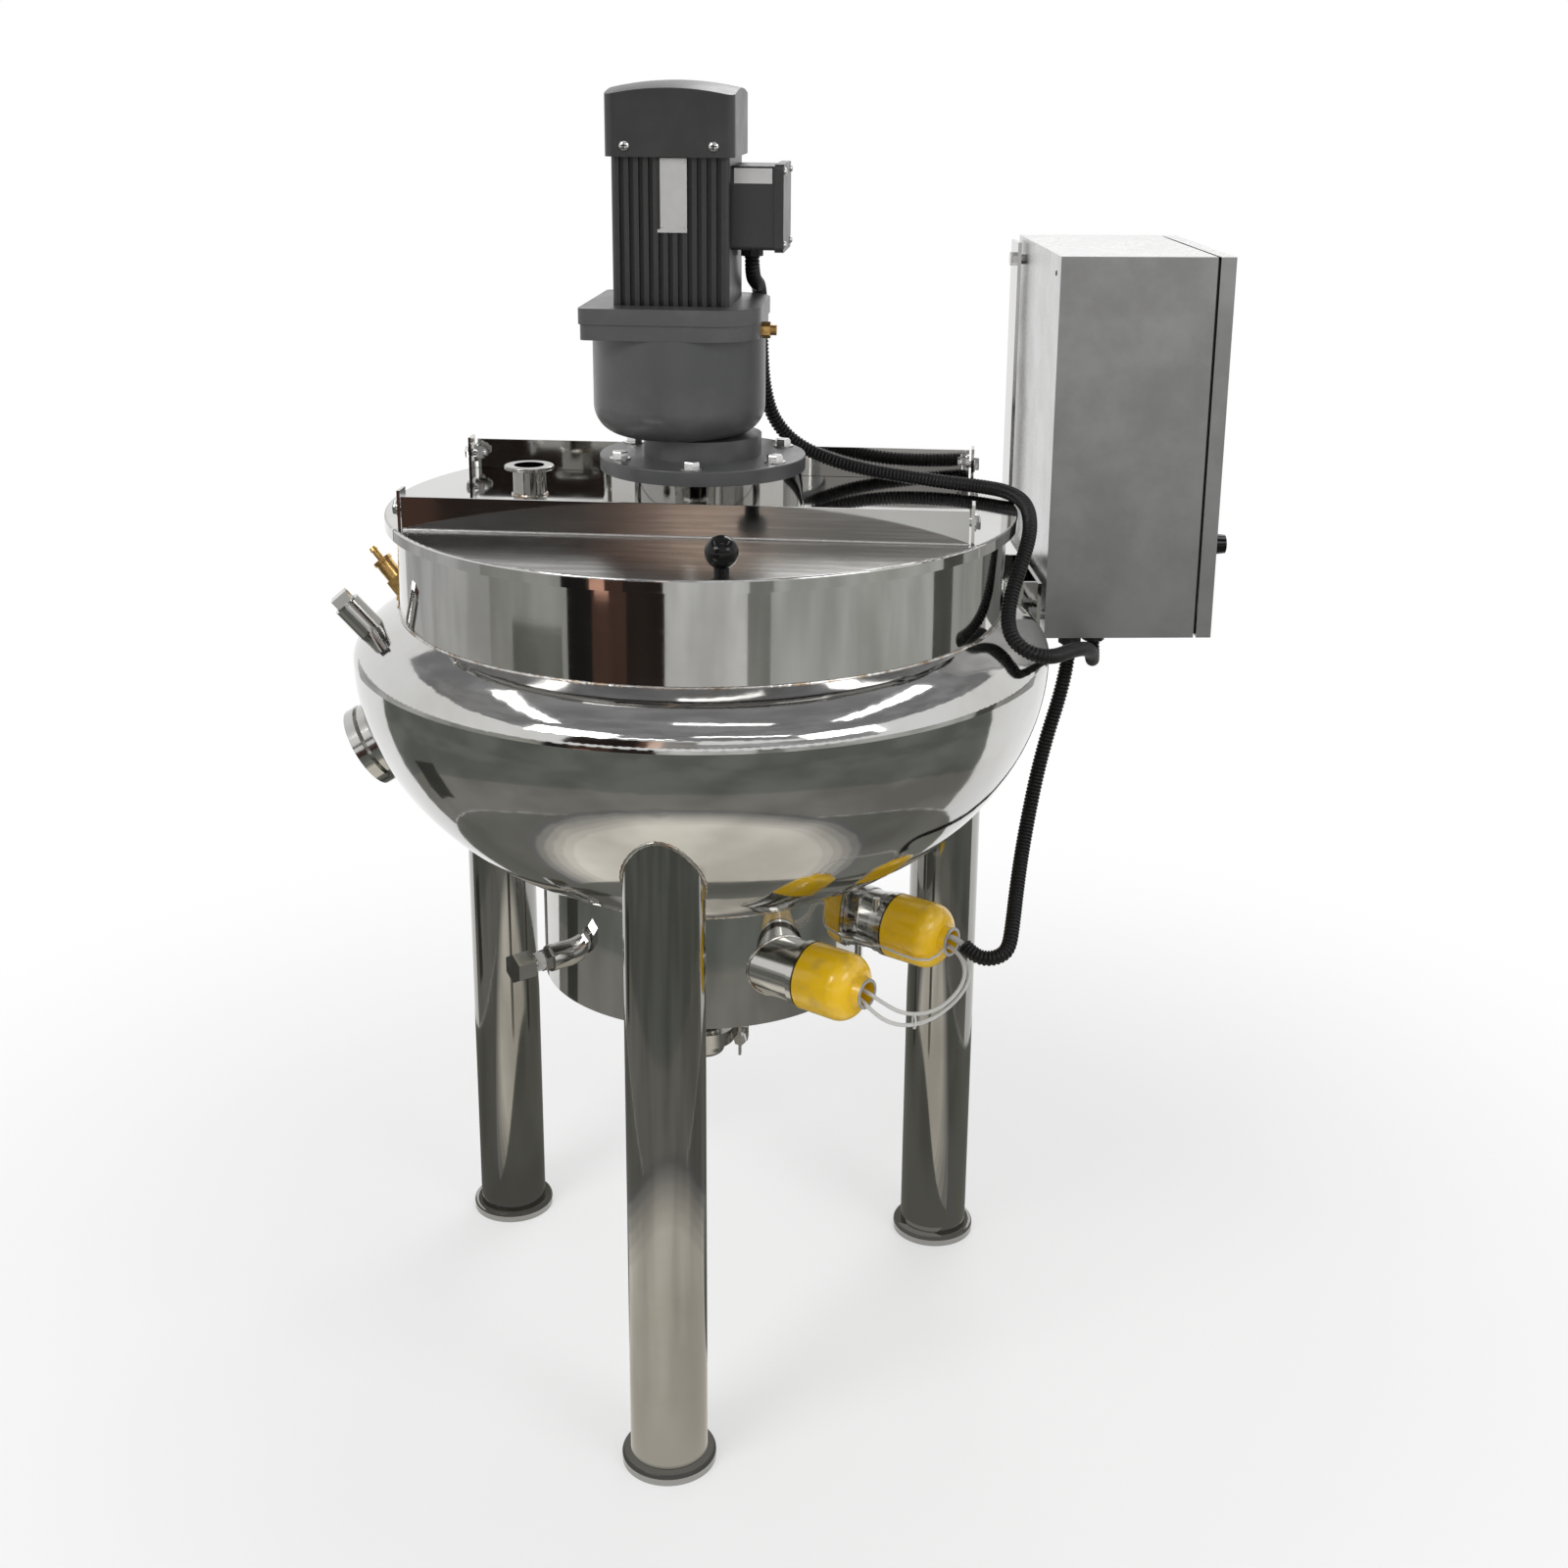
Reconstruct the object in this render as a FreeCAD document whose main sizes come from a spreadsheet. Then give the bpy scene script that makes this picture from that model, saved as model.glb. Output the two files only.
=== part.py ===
import FreeCAD, Part
import math
import os
import re

os.makedirs("parts", exist_ok=True)
doc = FreeCAD.newDocument("JacketedKettle")

# Driving dimensions, in millimetres and degrees.
SIZES = {
    "kettle_x": -86.25, "kettle_y": -30.3, "cut_past": 20, "weld_sink": 1,
    "pot_radius": 304, "pot_sheet": 4, "pot_dish_depth": 219,
    "wall_height": 142, "rim_overhang": 7, "rim_height": 10, "rim_round": 4,
    "jacket_gap": 48, "jacket_sheet": 4, "jacket_level": 757, "jacket_gap_below": 46, "shoulder_rise": 89,
    "well_radius": 170, "well_sheet": 4, "well_drop": 87, "well_rise": 68,
    "leg_inset": 59.5, "leg_radius": 38, "leg_sheet": 2, "leg_drop": 77,
    "foot_radius": 46.5, "foot_height": 12, "foot_round": 5,
    "lid_overhang": 4, "lid_sheet": 3, "lid_skirt": 9, "skirt_sheet": 2.5, "lid_round": 2,
    "bridge_half": 151.5, "lid_gap": 1.5, "bar_height": 32, "bar_end_gap": 9.347, "bar_sheet": 2.5,
    "ear_gap": 2, "ear_sheet": 3, "ear_height": 37, "ear_depth": 21,
    "pivot_inset": 8.5, "pivot_rise": 19, "pivot_radius": 4, "pivot_play": 0.08,
    "pivot_head_radius": 7.5, "pivot_head_height": 5.5, "nut_height": 6, "nut_gap": 0.5, "shank_past": 1,
    "tab_radius": 10, "tab_sink": 0.5,
    "knob_radius": 15, "knob_side": 52, "knob_inset": 33, "knob_rise": 18,
    "knob_neck_radius": 7, "knob_stud_radius": 3, "knob_stud_below": 5,
    "port_side": 182, "port_back": 25, "port_radius": 17, "port_sheet": 1.5, "port_height": 30,
    "port_flange_radius": 25.25, "port_flange_height": 4, "port_round": 1.2,
    "spool_radius": 100, "spool_sheet": 5, "spool_height": 37.5, "shaft_hole": 45,
    "flange_step": 2.4, "flange_height": 14.5, "flange_round": 1.5, "neck_radius": 58.5,
    "neck_height": 34.5,
    "bolt_circle": 88, "bolt_head_radius": 8.5, "bolt_head_height": 6.5,
    "drive_shift": -23, "case_radius": 85, "case_height": 100, "case_round": 30,
    "plate_width": 168, "plate_step": 1.5, "plate_corner": 45, "plate_nick": 7,
    "plate_low_height": 15, "plate_high_height": 15,
    "motor_width": 112, "motor_height": 138, "motor_corner": 5, "fin_depth": 6, "fin_gap": 4.6,
    "fin_pitch": 9.2,
    "cover_width": 123, "cover_height": 69, "cover_dome": 280, "cover_corner": 9,
    "terminal_rise": 52, "terminal_depth": 41, "terminal_width": 78, "terminal_height": 78,
    "terminal_round": 4,
    "terminal_lid": 8.5, "terminal_rim": 2, "terminal_lid_round": 5,
    "oil_plug_radius": 8, "oil_plug_height": 8, "oil_tip_radius": 5, "oil_tip_length": 14,
    "oil_plug_side": -20, "oil_plug_drop": 10,
    "label_width": 28, "label_height": 68, "label_sheet": 1, "label_side": 12, "label_below": 1,
    "shaft_radius": 14, "anchor_gap": 15, "anchor_width": 30, "anchor_sheet": 10, "anchor_below_rim": 59,
    "brace_radius": 8, "brace_drop": 30, "brace_inset": 10,
    "outlet_radius": 19, "outlet_sheet": 1.5, "outlet_drop": 87, "outlet_flange_radius": 25.25,
    "outlet_flange_height": 5, "outlet_sink": 2, "cap_disc_gap": 0.5, "cap_disc_height": 5,
    "cap_dome_radius": 21, "cap_dome_height": 25, "cap_dome_round": 6,
    "clamp_radius": 32, "clamp_height": 16, "clamp_play": 0.3, "lug_length": 16, "lug_width": 12,
    "screw_radius": 4, "screw_length": 40, "screw_reach": 40,
    "valve_turn": 170.3, "valve_inset": 30, "valve_rise": 21, "valve_tilt": 50,
    "valve_pipe_radius": 9, "valve_pipe_length": 14, "valve_nut_radius": 13, "valve_nut_length": 16,
    "valve_body_length": 20, "valve_shoulder_radius": 10.5, "valve_shoulder_length": 4,
    "valve_stem_radius": 3.5, "valve_stem_length": 12, "barb_wide": 4.6, "barb_narrow": 3.6,
    "barb_length": 4,
    "fill_turn": 195.5, "fill_inset": 27.4, "fill_rise": 17.7, "fill_tilt": 50,
    "fill_tube_radius": 14, "fill_tube_length": 48.5,
    "plug_collar_radius": 11, "plug_collar_length": 2, "plug_head_width": 17, "plug_head_length": 10,
    "sight_turn": 184.7, "sight_inset": 33.9, "sight_drop": 97.5, "sight_tilt": -31,
    "sight_neck_radius": 36, "sight_neck_length": 14, "sight_collar_radius": 42, "sight_collar_length": 9,
    "sight_waist_length": 4, "sight_ring_radius": 43, "sight_ring_length": 11,
    "sight_bore_radius": 26, "sight_bore_start": 10, "pane_start": 29, "pane_thick": 8,
    "drain_turn": 222, "drain_rise": 50, "drain_inset": 6, "drain_socket_radius": 13.5,
    "drain_socket_length": 28,
    "drain_nut_radius": 12, "drain_nut_length": 8, "drain_pipe_radius": 9, "drain_pipe_length": 14,
    "drain_cap_radius": 15.5, "drain_cap_length": 20,
    "heater_turn": -32, "heater_rise": 60, "heater_radius": 31, "heater_reach": 193, "heater_start": 110,
    "heater_lip": 2, "heater_ring_width": 6, "heater_ring_step": 3, "front_heater_side": -70,
    "back_heater_side": 82,
    "cap_radius": 34, "cap_hole": 12, "cap_length": 58, "cap_round": 20, "cap_floor": 20,
    "nose_wide": 17, "nose_narrow": 15, "nose_length": 8, "nose_sink": 2,
    "cabinet_tuck": 0.6, "cabinet_y": 105.7, "cabinet_z": 742.3, "cabinet_turn": 7.3,
    "cabinet_depth": 160, "cabinet_width": 275, "cabinet_height": 400, "cabinet_sheet": 2,
    "door_gap": 3, "door_depth": 16, "door_sheet": 2,
    "hinge_radius": 5, "hinge_pin": 2.5, "hinge_height": 60, "hinge_play": 0.08, "hinge_split": 0.5,
    "hinge_inset": 50,
    "hinge_out": 4, "hinge_side": 8, "leaf_length": 24, "leaf_sheet": 3, "arm_side": 2, "arm_width": 6,
    "arm_length": 11, "arm_back": 4, "door_leaf_length": 8, "door_leaf_width": 9, "door_leaf_out": 2,
    "door_leaf_sink": 1,
    "latch_side": 45, "latch_level": 92, "latch_radius": 12, "latch_taper": 2, "latch_reach": 20,
    "bezel_step": 3, "bezel_height": 3,
    "strap_gap": 5, "strap_sheet": 4, "strap_width": 50, "strap_top": 395, "bracket_low": -50,
    "bracket_high": 60,
    "bracket_arm_length": 100, "bracket_arm_sheet": 4, "bracket_arm_inset": 10, "near_arm_side": 45,
    "far_arm_side": 170,
    "stud_inset": 25, "stud_level": 20, "stud_head_radius": 7.5, "stud_head_height": 5, "spacer_radius": 6,
    "motor_conduit_radius": 7.5, "heater_conduit_radius": 8, "lead_radius": 2, "bundle_radius": 3,
}

# Levels and distances that follow from the sizes above.
DERIVED = {
    "rim_top": "jacket_level + wall_height",
    "jacket_radius": "pot_radius + jacket_gap",
    "jacket_depth": "pot_dish_depth + jacket_gap_below",
    "leg_circle": "jacket_radius - leg_inset",
    "cabinet_x": "jacket_radius - cabinet_tuck",
    "rim_radius": "pot_radius + rim_overhang",
    "lid_radius": "rim_radius + lid_overhang",
    "lid_top": "rim_top + lid_sheet",
    "lid_bottom": "rim_top - lid_skirt",
    "lid_edge": "bridge_half + lid_gap",
    "bar_half": "sqrt(lid_radius ^ 2 - lid_edge ^ 2) - bar_end_gap",
    "knob_reach": "lid_radius - knob_inset",
    "ear_inner": "bar_half + ear_gap",
    "pivot_offset": "bridge_half - pivot_inset",
    "pivot_level": "lid_top + pivot_rise",
    "nut_inner": "bar_half - bar_sheet - nut_gap - nut_height",
    "spool_top": "lid_top + spool_height",
    "neck_top": "spool_top + neck_height",
    "case_top": "neck_top + case_height",
    "plate_split": "case_top + plate_low_height",
    "plate_top": "plate_split + plate_high_height",
    "motor_top": "plate_top + motor_height",
    "cover_top": "motor_top + cover_height",
    "motor_side": "drive_shift + motor_width / 2",
    "anchor_radius": "pot_radius - pot_sheet - anchor_gap",
    "anchor_depth": "pot_dish_depth - pot_sheet - anchor_gap",
    "anchor_top": "rim_top - anchor_below_rim",
    "shaft_low": "jacket_level - anchor_depth + anchor_width / 2",
    "leg_top": "jacket_level - leg_drop",
    "jacket_foot": "jacket_level - jacket_depth",
    "well_bottom": "jacket_foot - well_drop",
    "well_height": "well_drop + well_rise",
    "outlet_level": "well_bottom - outlet_drop",
    "pot_foot": "jacket_level - pot_dish_depth",
    "heater_length": "heater_reach - heater_start",
    "door_start": "cabinet_depth + door_gap",
    "hinge_axis_x": "door_start + hinge_out",
    "hinge_axis_y": "cabinet_width + hinge_side",
    "hinge_half": "hinge_height / 2 - hinge_split",
    "rail_start": "-strap_gap - strap_sheet",
    "rail_height": "bracket_high - bracket_low",
}

sheet = doc.addObject("Spreadsheet::Sheet", "Sizes")
for row, (alias, value) in enumerate(SIZES.items(), 1):
    sheet.set("A%d" % row, alias)
    sheet.set("B%d" % row, str(value))
    sheet.setAlias("B%d" % row, alias)
doc.recompute()


def formula(text):
    """Turn plain words for sizes and levels into an expression on the sheet."""
    def spelled(found):
        word = found.group(0)
        if word in DERIVED:
            return "(" + formula(DERIVED[word]) + ")"
        return "Sizes." + word if word in SIZES else word
    return re.sub(r"[a-z]+_[a-z_]+", spelled, str(text))


def amount(text):
    """What such an expression comes to."""
    return float(sheet.evalExpression(formula(text)))


def place(obj, x=0, y=0, z=0, yaw=0, pitch=0, roll=0):
    text = "placement(vector(%s; %s; %s); rotation(%s; %s; %s))" % (x, y, z, yaw, pitch, roll)
    obj.setExpression("Placement", formula(text))
    return obj


def primitive(kind, name, sizes, where):
    obj = doc.addObject("Part::" + kind, name)
    for prop, text in sizes.items():
        obj.setExpression(prop, formula(text))
    return place(obj, **where)


def cylinder(name, radius, height, **where):
    return primitive("Cylinder", name, {"Radius": radius, "Height": height}, where)


def cone(name, low, high, height, **where):
    return primitive("Cone", name, {"Radius1": low, "Radius2": high, "Height": height}, where)


def block(name, length, width, height, **where):
    return primitive("Box", name, {"Length": length, "Width": width, "Height": height}, where)


def slab(name, length, width, height, x=0, y=0, z=0):
    """A block whose middle stands over x and y."""
    return block(name, length, width, height, x="%s - (%s) / 2" % (x, length),
                 y="%s - (%s) / 2" % (y, width), z=z)


def hexagon(name, radius, height, **where):
    obj = primitive("Prism", name, {"Circumradius": radius, "Height": height}, where)
    obj.Polygon = 6
    return obj


def ball(name, radius, **where):
    return primitive("Sphere", name, {"Radius": radius}, where)


def dish(name, radius, depth, upper):
    """Half an ellipsoid of revolution, below or above the jacket's widest level."""
    obj = primitive("Ellipsoid", name, {"Radius1": depth, "Radius2": radius, "Radius3": radius},
                    {"z": "jacket_level"})
    obj.Angle1, obj.Angle2 = (0, 90) if upper else (-90, 0)
    return obj


def union(name, *shapes):
    obj = doc.addObject("Part::MultiFuse", name)
    obj.Shapes = list(shapes)
    obj.Refine = True
    return obj


def overlap(name, *shapes):
    obj = doc.addObject("Part::MultiCommon", name)
    obj.Shapes = list(shapes)
    return obj


def cut(name, base, *tools):
    obj = doc.addObject("Part::Cut", name)
    obj.Base = base
    obj.Tool = tools[0] if len(tools) == 1 else union(name + "Tools", *tools)
    return obj


def together(name, *shapes):
    obj = doc.addObject("Part::Compound", name)
    obj.Links = list(shapes)
    return obj


def copy_of(name, source):
    """A linked copy, for a shape that cuts more than one piece."""
    return together(name, source)


def stack(name, *layers):
    """A fitting built up along its own axis from layers, each with a kind, its width and its length."""
    made, start = [], "0"
    for number, (kind, width, length) in enumerate(layers, 1):
        part = name + "Layer%d" % number
        if kind == "round":
            made.append(cylinder(part, width, length, z=start))
        elif kind == "hexagon":
            made.append(hexagon(part, width, length, z=start))
        elif kind == "cone":
            made.append(cone(part, width[0], width[1], length, z=start))
        else:
            made.append(slab(part, width, width, length, z=start))
        start += " + " + length
    return made[0] if len(made) == 1 else union(name, *made)


def rounded(name, base, radius, chosen):
    """Round the edges of base that the test picks."""
    doc.recompute()
    obj = doc.addObject("Part::Fillet", name)
    obj.Base = base
    reach = amount(radius)
    obj.Edges = [(i, reach, reach) for i, edge in enumerate(base.Shape.Edges, 1) if chosen(edge)]
    return obj


def is_circle(edge):
    return edge.Curve.TypeId == "Part::GeomCircle"


def flat_at(level):
    """Pick the edges that lie flat at a level."""
    height = amount(level)
    return lambda edge: max(abs(edge.BoundBox.ZMin - height), abs(edge.BoundBox.ZMax - height)) < 0.01


def circle_at(level):
    """Pick the circles that lie flat at a level."""
    flat = flat_at(level)
    return lambda edge: flat(edge) and is_circle(edge)


def across(edge):
    """Pick the edges that run along X."""
    return edge.BoundBox.YLength < 0.01 and edge.BoundBox.ZLength < 0.01


def upright(edge):
    box = edge.BoundBox
    return box.XLength < 0.01 and box.YLength < 0.01 and box.ZLength > 1


def upright_beside(side):
    """Pick the upright edges on one side of the gear motor's axis."""
    middle = amount("drive_shift")
    return lambda edge: upright(edge) and (edge.BoundBox.XMin - middle) * side > 0


nodes = {}


def node(label, obj, x=0, y=0, **turned):
    """Name a finished piece and place it, measured from the kettle's own axis.

    The origin is on the floor under the middle of the whole footprint, so that axis stands off it.
    """
    place(obj, x="kettle_x + (%s)" % x, y="kettle_y + (%s)" % y, **turned)
    obj.Label = label
    nodes[label] = obj
    return obj


# Pot: a rolled wall with a rim, on a dished bottom with the outlet's hole.
rim_ring = cylinder("RimRing", "rim_radius", "rim_height", z="rim_top - rim_height")
wall_outer = union("WallOuter", cylinder("WallTube", "pot_radius", "rim_top - jacket_level",
                                         z="jacket_level"),
                   rounded("RimLip", rim_ring, "rim_round", circle_at("rim_top - rim_height")))
node("pot_wall", cut("PotWall", wall_outer,
                     cylinder("WallBore", "pot_radius - pot_sheet", "rim_top - jacket_level + 2 * cut_past",
                              z="jacket_level - cut_past")))
node("pot_bottom", cut("PotBottom", dish("BottomOuter", "pot_radius", "pot_dish_depth", False),
                       dish("BottomInner", "pot_radius - pot_sheet", "pot_dish_depth - pot_sheet", False),
                       cylinder("BottomDrainHole", "outlet_radius - outlet_sheet",
                                "pot_sheet + 2 * cut_past", z="pot_foot - cut_past")))

# Jacket: a wider dished shell around the lower pot, open below into the heater well.
jacket_low = dish("JacketLow", "jacket_radius", "jacket_depth", False)
jacket_high = dish("JacketHigh", "jacket_radius", "shoulder_rise", True)
jacket_outer = union("JacketOuter", jacket_low, jacket_high)
jacket_hollow = union("JacketHollow",
                      dish("JacketLowInner", "jacket_radius - jacket_sheet",
                           "jacket_depth - jacket_sheet", False),
                      dish("JacketHighInner", "jacket_radius - jacket_sheet",
                           "shoulder_rise - jacket_sheet", True))
node("jacket_shell", cut("JacketShell", jacket_outer, jacket_hollow,
                         cylinder("JacketPotHole", "pot_radius", "shoulder_rise + cut_past",
                                  z="jacket_level"),
                         cylinder("JacketWellHole", "well_radius - well_sheet", "jacket_depth / 2 + cut_past",
                                  z="jacket_foot - cut_past")))
node("heater_well", cut("HeaterWell", cylinder("WellOuter", "well_radius", "well_height", z="well_bottom"),
                        cylinder("WellInner", "well_radius - well_sheet", "well_height",
                                 z="well_bottom + well_sheet"),
                        copy_of("WellJacketCut", jacket_low),
                        cylinder("WellOutletHole", "outlet_radius", "2 * cut_past",
                                 z="well_bottom - cut_past")))

# Three tube legs, cut to the jacket, each on a round foot.
feet = []
for name, turn in (("front_leg", 270), ("right_leg", 30), ("left_leg", 150)):
    key = name.split("_")[0].capitalize()
    spot = {"x": "leg_circle * cos(%d)" % turn, "y": "leg_circle * sin(%d)" % turn, "z": "foot_height"}
    node(name, cut(key + "Leg", cylinder(key + "LegTube", "leg_radius", "leg_top - foot_height", **spot),
                   cylinder(key + "LegBore", "leg_radius - leg_sheet", "leg_top", **spot),
                   copy_of(key + "LegJacketCut", jacket_low)))
    disc = cylinder(key + "FootDisc", "foot_radius", "foot_height", x=spot["x"], y=spot["y"])
    feet.append(rounded(key + "Foot", disc, "foot_round", circle_at("foot_height")))
node("leg_feet", together("LegFeet", *feet))

# Lid bridge: the fixed middle of the lid, with four welded ears for the half lids.
lid_disc = cylinder("LidDisc", "lid_radius", "lid_sheet + lid_skirt", z="lid_bottom")
lid_shape = cut("LidShape", rounded("LidBlank", lid_disc, "lid_round", circle_at("lid_top")),
                cylinder("LidHollow", "lid_radius - skirt_sheet", "lid_skirt", z="lid_bottom"))
slice_height = "lid_sheet + lid_skirt + 2 * cut_past"
bridge_plate = overlap("BridgePlate", lid_shape,
                       slab("BridgeSlice", "2 * lid_radius + cut_past", "2 * bridge_half", slice_height,
                            z="lid_bottom - cut_past"))


def pivot_corners():
    """The four places of the half lids' pivots: a name, the side along X and the side along Y."""
    for side in (-1, 1):
        for front in (-1, 1):
            name = ("Right" if side > 0 else "Left") + ("Back" if front > 0 else "Front")
            yield name, side, front


def pivot_hole(name, way, radius):
    """A rod along X, right through both ears of one half lid."""
    return cylinder(name, radius, "2 * lid_radius", x="-lid_radius", y="%d * pivot_offset" % way,
                    z="pivot_level", pitch=90)


ears = [slab(corner + "Ear", "ear_sheet", "ear_depth", "ear_height + weld_sink",
             x="%d * (ear_inner + ear_sheet / 2)" % side, y="%d * (bridge_half - ear_depth / 2)" % front,
             z="lid_top - weld_sink") for corner, side, front in pivot_corners()]
node("lid_bridge", cut("LidBridge", union("BridgeBody", bridge_plate, *ears),
                       cylinder("BridgeShaftHole", "shaft_hole", slice_height, z="lid_bottom - cut_past"),
                       cylinder("BridgePortHole", "port_radius - port_sheet", slice_height, x="-port_side",
                                y="port_back", z="lid_bottom - cut_past"),
                       pivot_hole("EarHoleFront", -1, "pivot_radius"),
                       pivot_hole("EarHoleBack", 1, "pivot_radius")))

# Half lids: a skirted plate with an upturned bar and an end tab at each pivot, and a knob.
for name, way in (("front", -1), ("back", 1)):
    key = name.capitalize()
    plate = overlap(key + "LidPlate", copy_of(key + "LidCopy", lid_shape),
                    slab(key + "LidSlice", "2 * lid_radius + cut_past", "lid_radius", slice_height,
                         y="%d * (lid_edge + lid_radius / 2)" % way, z="lid_bottom - cut_past"))
    bar = slab(key + "Bar", "2 * bar_half", "bar_sheet", "bar_height + weld_sink",
               y="%d * (lid_edge + bar_sheet / 2)" % way, z="lid_top - weld_sink")
    tabs = []
    for side in (-1, 1):
        tag = key + ("Right" if side > 0 else "Left")
        middle = "%d * (bar_half - bar_sheet / 2)" % side
        tabs.append(slab(tag + "TabWeb", "bar_sheet", "lid_edge - pivot_offset + tab_sink",
                         "2 * tab_radius", x=middle,
                         y="%d * (lid_edge + pivot_offset + tab_sink) / 2" % way,
                         z="pivot_level - tab_radius"))
        tabs.append(cylinder(tag + "TabEnd", "tab_radius", "bar_sheet", x=middle + " - bar_sheet / 2",
                             y="%d * pivot_offset" % way, z="pivot_level", pitch=90))
    spot = {"x": "%d * knob_side" % -way, "y": "%d * knob_reach" % way}
    node(name + "_lid", cut(key + "Lid", union(key + "LidBody", plate, bar, *tabs),
                            pivot_hole(key + "TabBore", way, "pivot_radius + pivot_play"),
                            cylinder(key + "KnobHole", "knob_stud_radius", slice_height,
                                     z="lid_bottom - cut_past", **spot)))
    node(name + "_lid_knob", union(key + "Knob", ball(key + "KnobBall", "knob_radius",
                                                      z="lid_top + knob_rise"),
                                   cylinder(key + "KnobNeck", "knob_neck_radius", "knob_rise", z="lid_top"),
                                   cylinder(key + "KnobStud", "knob_stud_radius", "2 * knob_stud_below",
                                            z="lid_top - knob_stud_below")), **spot)

# Filling port on the bridge.
port_flange = cylinder("PortFlange", "port_flange_radius", "port_flange_height",
                       z="lid_top + port_height - port_flange_height")
port = union("PortBody", cylinder("PortTube", "port_radius", "port_height", z="lid_top"),
             rounded("PortFlangeRound", port_flange, "port_round", is_circle))
node("lid_port", cut("LidPort", port, cylinder("PortBore", "port_radius - port_sheet",
                                               "port_height + 2 * cut_past", z="lid_top - cut_past")),
     x="-port_side", y="port_back")

# Gear motor: spool, flange, gear case, gear plate, motor, fan cover.
node("motor_spool", cut("MotorSpool", cylinder("SpoolOuter", "spool_radius", "spool_height", z="lid_top"),
                        cylinder("SpoolInner", "spool_radius - spool_sheet", "spool_height + 2 * cut_past",
                                 z="lid_top - cut_past")))
flange_disc = cylinder("FlangePlate", "spool_radius + flange_step", "flange_height", z="spool_top")
node("output_flange", union("OutputFlange", rounded("FlangeDisc", flange_disc, "flange_round",
                                                    circle_at("spool_top + flange_height")),
                            cylinder("Neck", "neck_radius", "neck_height", z="spool_top")))
case_body = cylinder("CaseBody", "case_radius", "case_height", x="drive_shift", z="neck_top")
node("gear_case", rounded("GearCase", case_body, "case_round", circle_at("neck_top")))


def gear_plate_half(name, width, height, level):
    """One half of the gear plate: nearly square on the left, with wide corners on the right."""
    whole = slab(name + "Block", width, width, height, x="drive_shift", z=level)
    right = rounded(name + "Right", whole, "plate_corner", upright_beside(1))
    return rounded(name, right, "plate_nick", upright_beside(-1))


node("gear_plate", union("GearPlate",
                         gear_plate_half("PlateLow", "plate_width", "plate_low_height", "case_top"),
                         gear_plate_half("PlateHigh", "plate_width + 2 * plate_step",
                                         "plate_high_height", "plate_split")))
motor_core = slab("MotorCore", "motor_width", "motor_width", "motor_height", x="drive_shift", z="plate_top")
grooves = []
for k in range(-5, 6):
    along = "%d * fin_pitch" % k
    for side, word in ((-1, "Front"), (1, "Back")):
        grooves.append(slab("Groove%s%d" % (word, k + 6), "fin_gap", "2 * fin_depth",
                            "motor_height + 2 * cut_past", x="drive_shift + " + along,
                            y="%d * motor_width / 2" % side, z="plate_top - cut_past"))
    grooves.append(slab("GrooveLeft%d" % (k + 6), "2 * fin_depth", "fin_gap", "motor_height + 2 * cut_past",
                        x="drive_shift - motor_width / 2", y=along, z="plate_top - cut_past"))
node("motor_body", cut("MotorBody", rounded("MotorBlock", motor_core, "motor_corner", upright), *grooves))
cover_core = slab("CoverCore", "cover_width", "cover_width", "cover_height", x="drive_shift", z="motor_top")
cover_edge = flat_at("cover_top")
cover_block = rounded("CoverBlock", cover_core, "cover_corner",
                      lambda edge: upright(edge) or cover_edge(edge))
node("fan_cover", overlap("FanCover", cover_block,
                          ball("CoverDome", "cover_dome", x="drive_shift", z="cover_top - cover_dome")))

# What is fixed to the gear motor: terminal box, oil plug and name plate.
node("terminal_box", rounded("TerminalBox", block("TerminalBlock", "terminal_depth", "terminal_width",
                                                  "terminal_height"), "terminal_round", across),
     x="motor_side", y="-terminal_width / 2", z="plate_top + terminal_rise")
terminal_plate = block("TerminalLid", "terminal_lid", "terminal_width + 2 * terminal_rim",
                       "terminal_height + 2 * terminal_rim")
node("terminal_cover", rounded("TerminalCover", terminal_plate, "terminal_lid_round", across),
     x="motor_side + terminal_depth", y="-terminal_width / 2 - terminal_rim",
     z="plate_top + terminal_rise - terminal_rim")
node("oil_plug", union("OilPlug", hexagon("OilPlugHex", "oil_plug_radius", "oil_plug_height", pitch=90),
                       cylinder("OilPlugTip", "oil_tip_radius", "oil_tip_length", pitch=90)),
     x="drive_shift + plate_width / 2", y="oil_plug_side", z="plate_split - oil_plug_drop")
node("name_plate", block("NamePlate", "label_width", "label_sheet", "label_height"),
     x="drive_shift - label_side", y="-motor_width / 2 - label_sheet",
     z="motor_top - label_height - label_below")

# Bolts on the lid: one through each ear with its nut, and six on the flange.
bolts = []
for corner, side, front in pivot_corners():
    spot = {"y": "%d * pivot_offset" % front, "z": "pivot_level", "pitch": 90 * side}
    shank = "ear_inner + ear_sheet + pivot_head_height - nut_inner + shank_past"
    bolts.append(union(corner + "Pivot", cylinder(corner + "Shank", "pivot_radius", shank,
                                                  x="%d * (nut_inner - shank_past)" % side, **spot),
                       hexagon(corner + "Head", "pivot_head_radius", "pivot_head_height",
                               x="%d * (ear_inner + ear_sheet)" % side, **spot),
                       hexagon(corner + "Nut", "pivot_head_radius", "nut_height", x="%d * nut_inner" % side,
                               **spot)))
for k in range(6):
    turn = 60 * k - 90
    bolts.append(hexagon("FlangeBolt%d" % (k + 1), "bolt_head_radius", "bolt_head_height",
                         x="bolt_circle * cos(%d)" % turn, y="bolt_circle * sin(%d)" % turn,
                         z="spool_top + flange_height"))
node("lid_bolts", together("LidBolts", *bolts))

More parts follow.
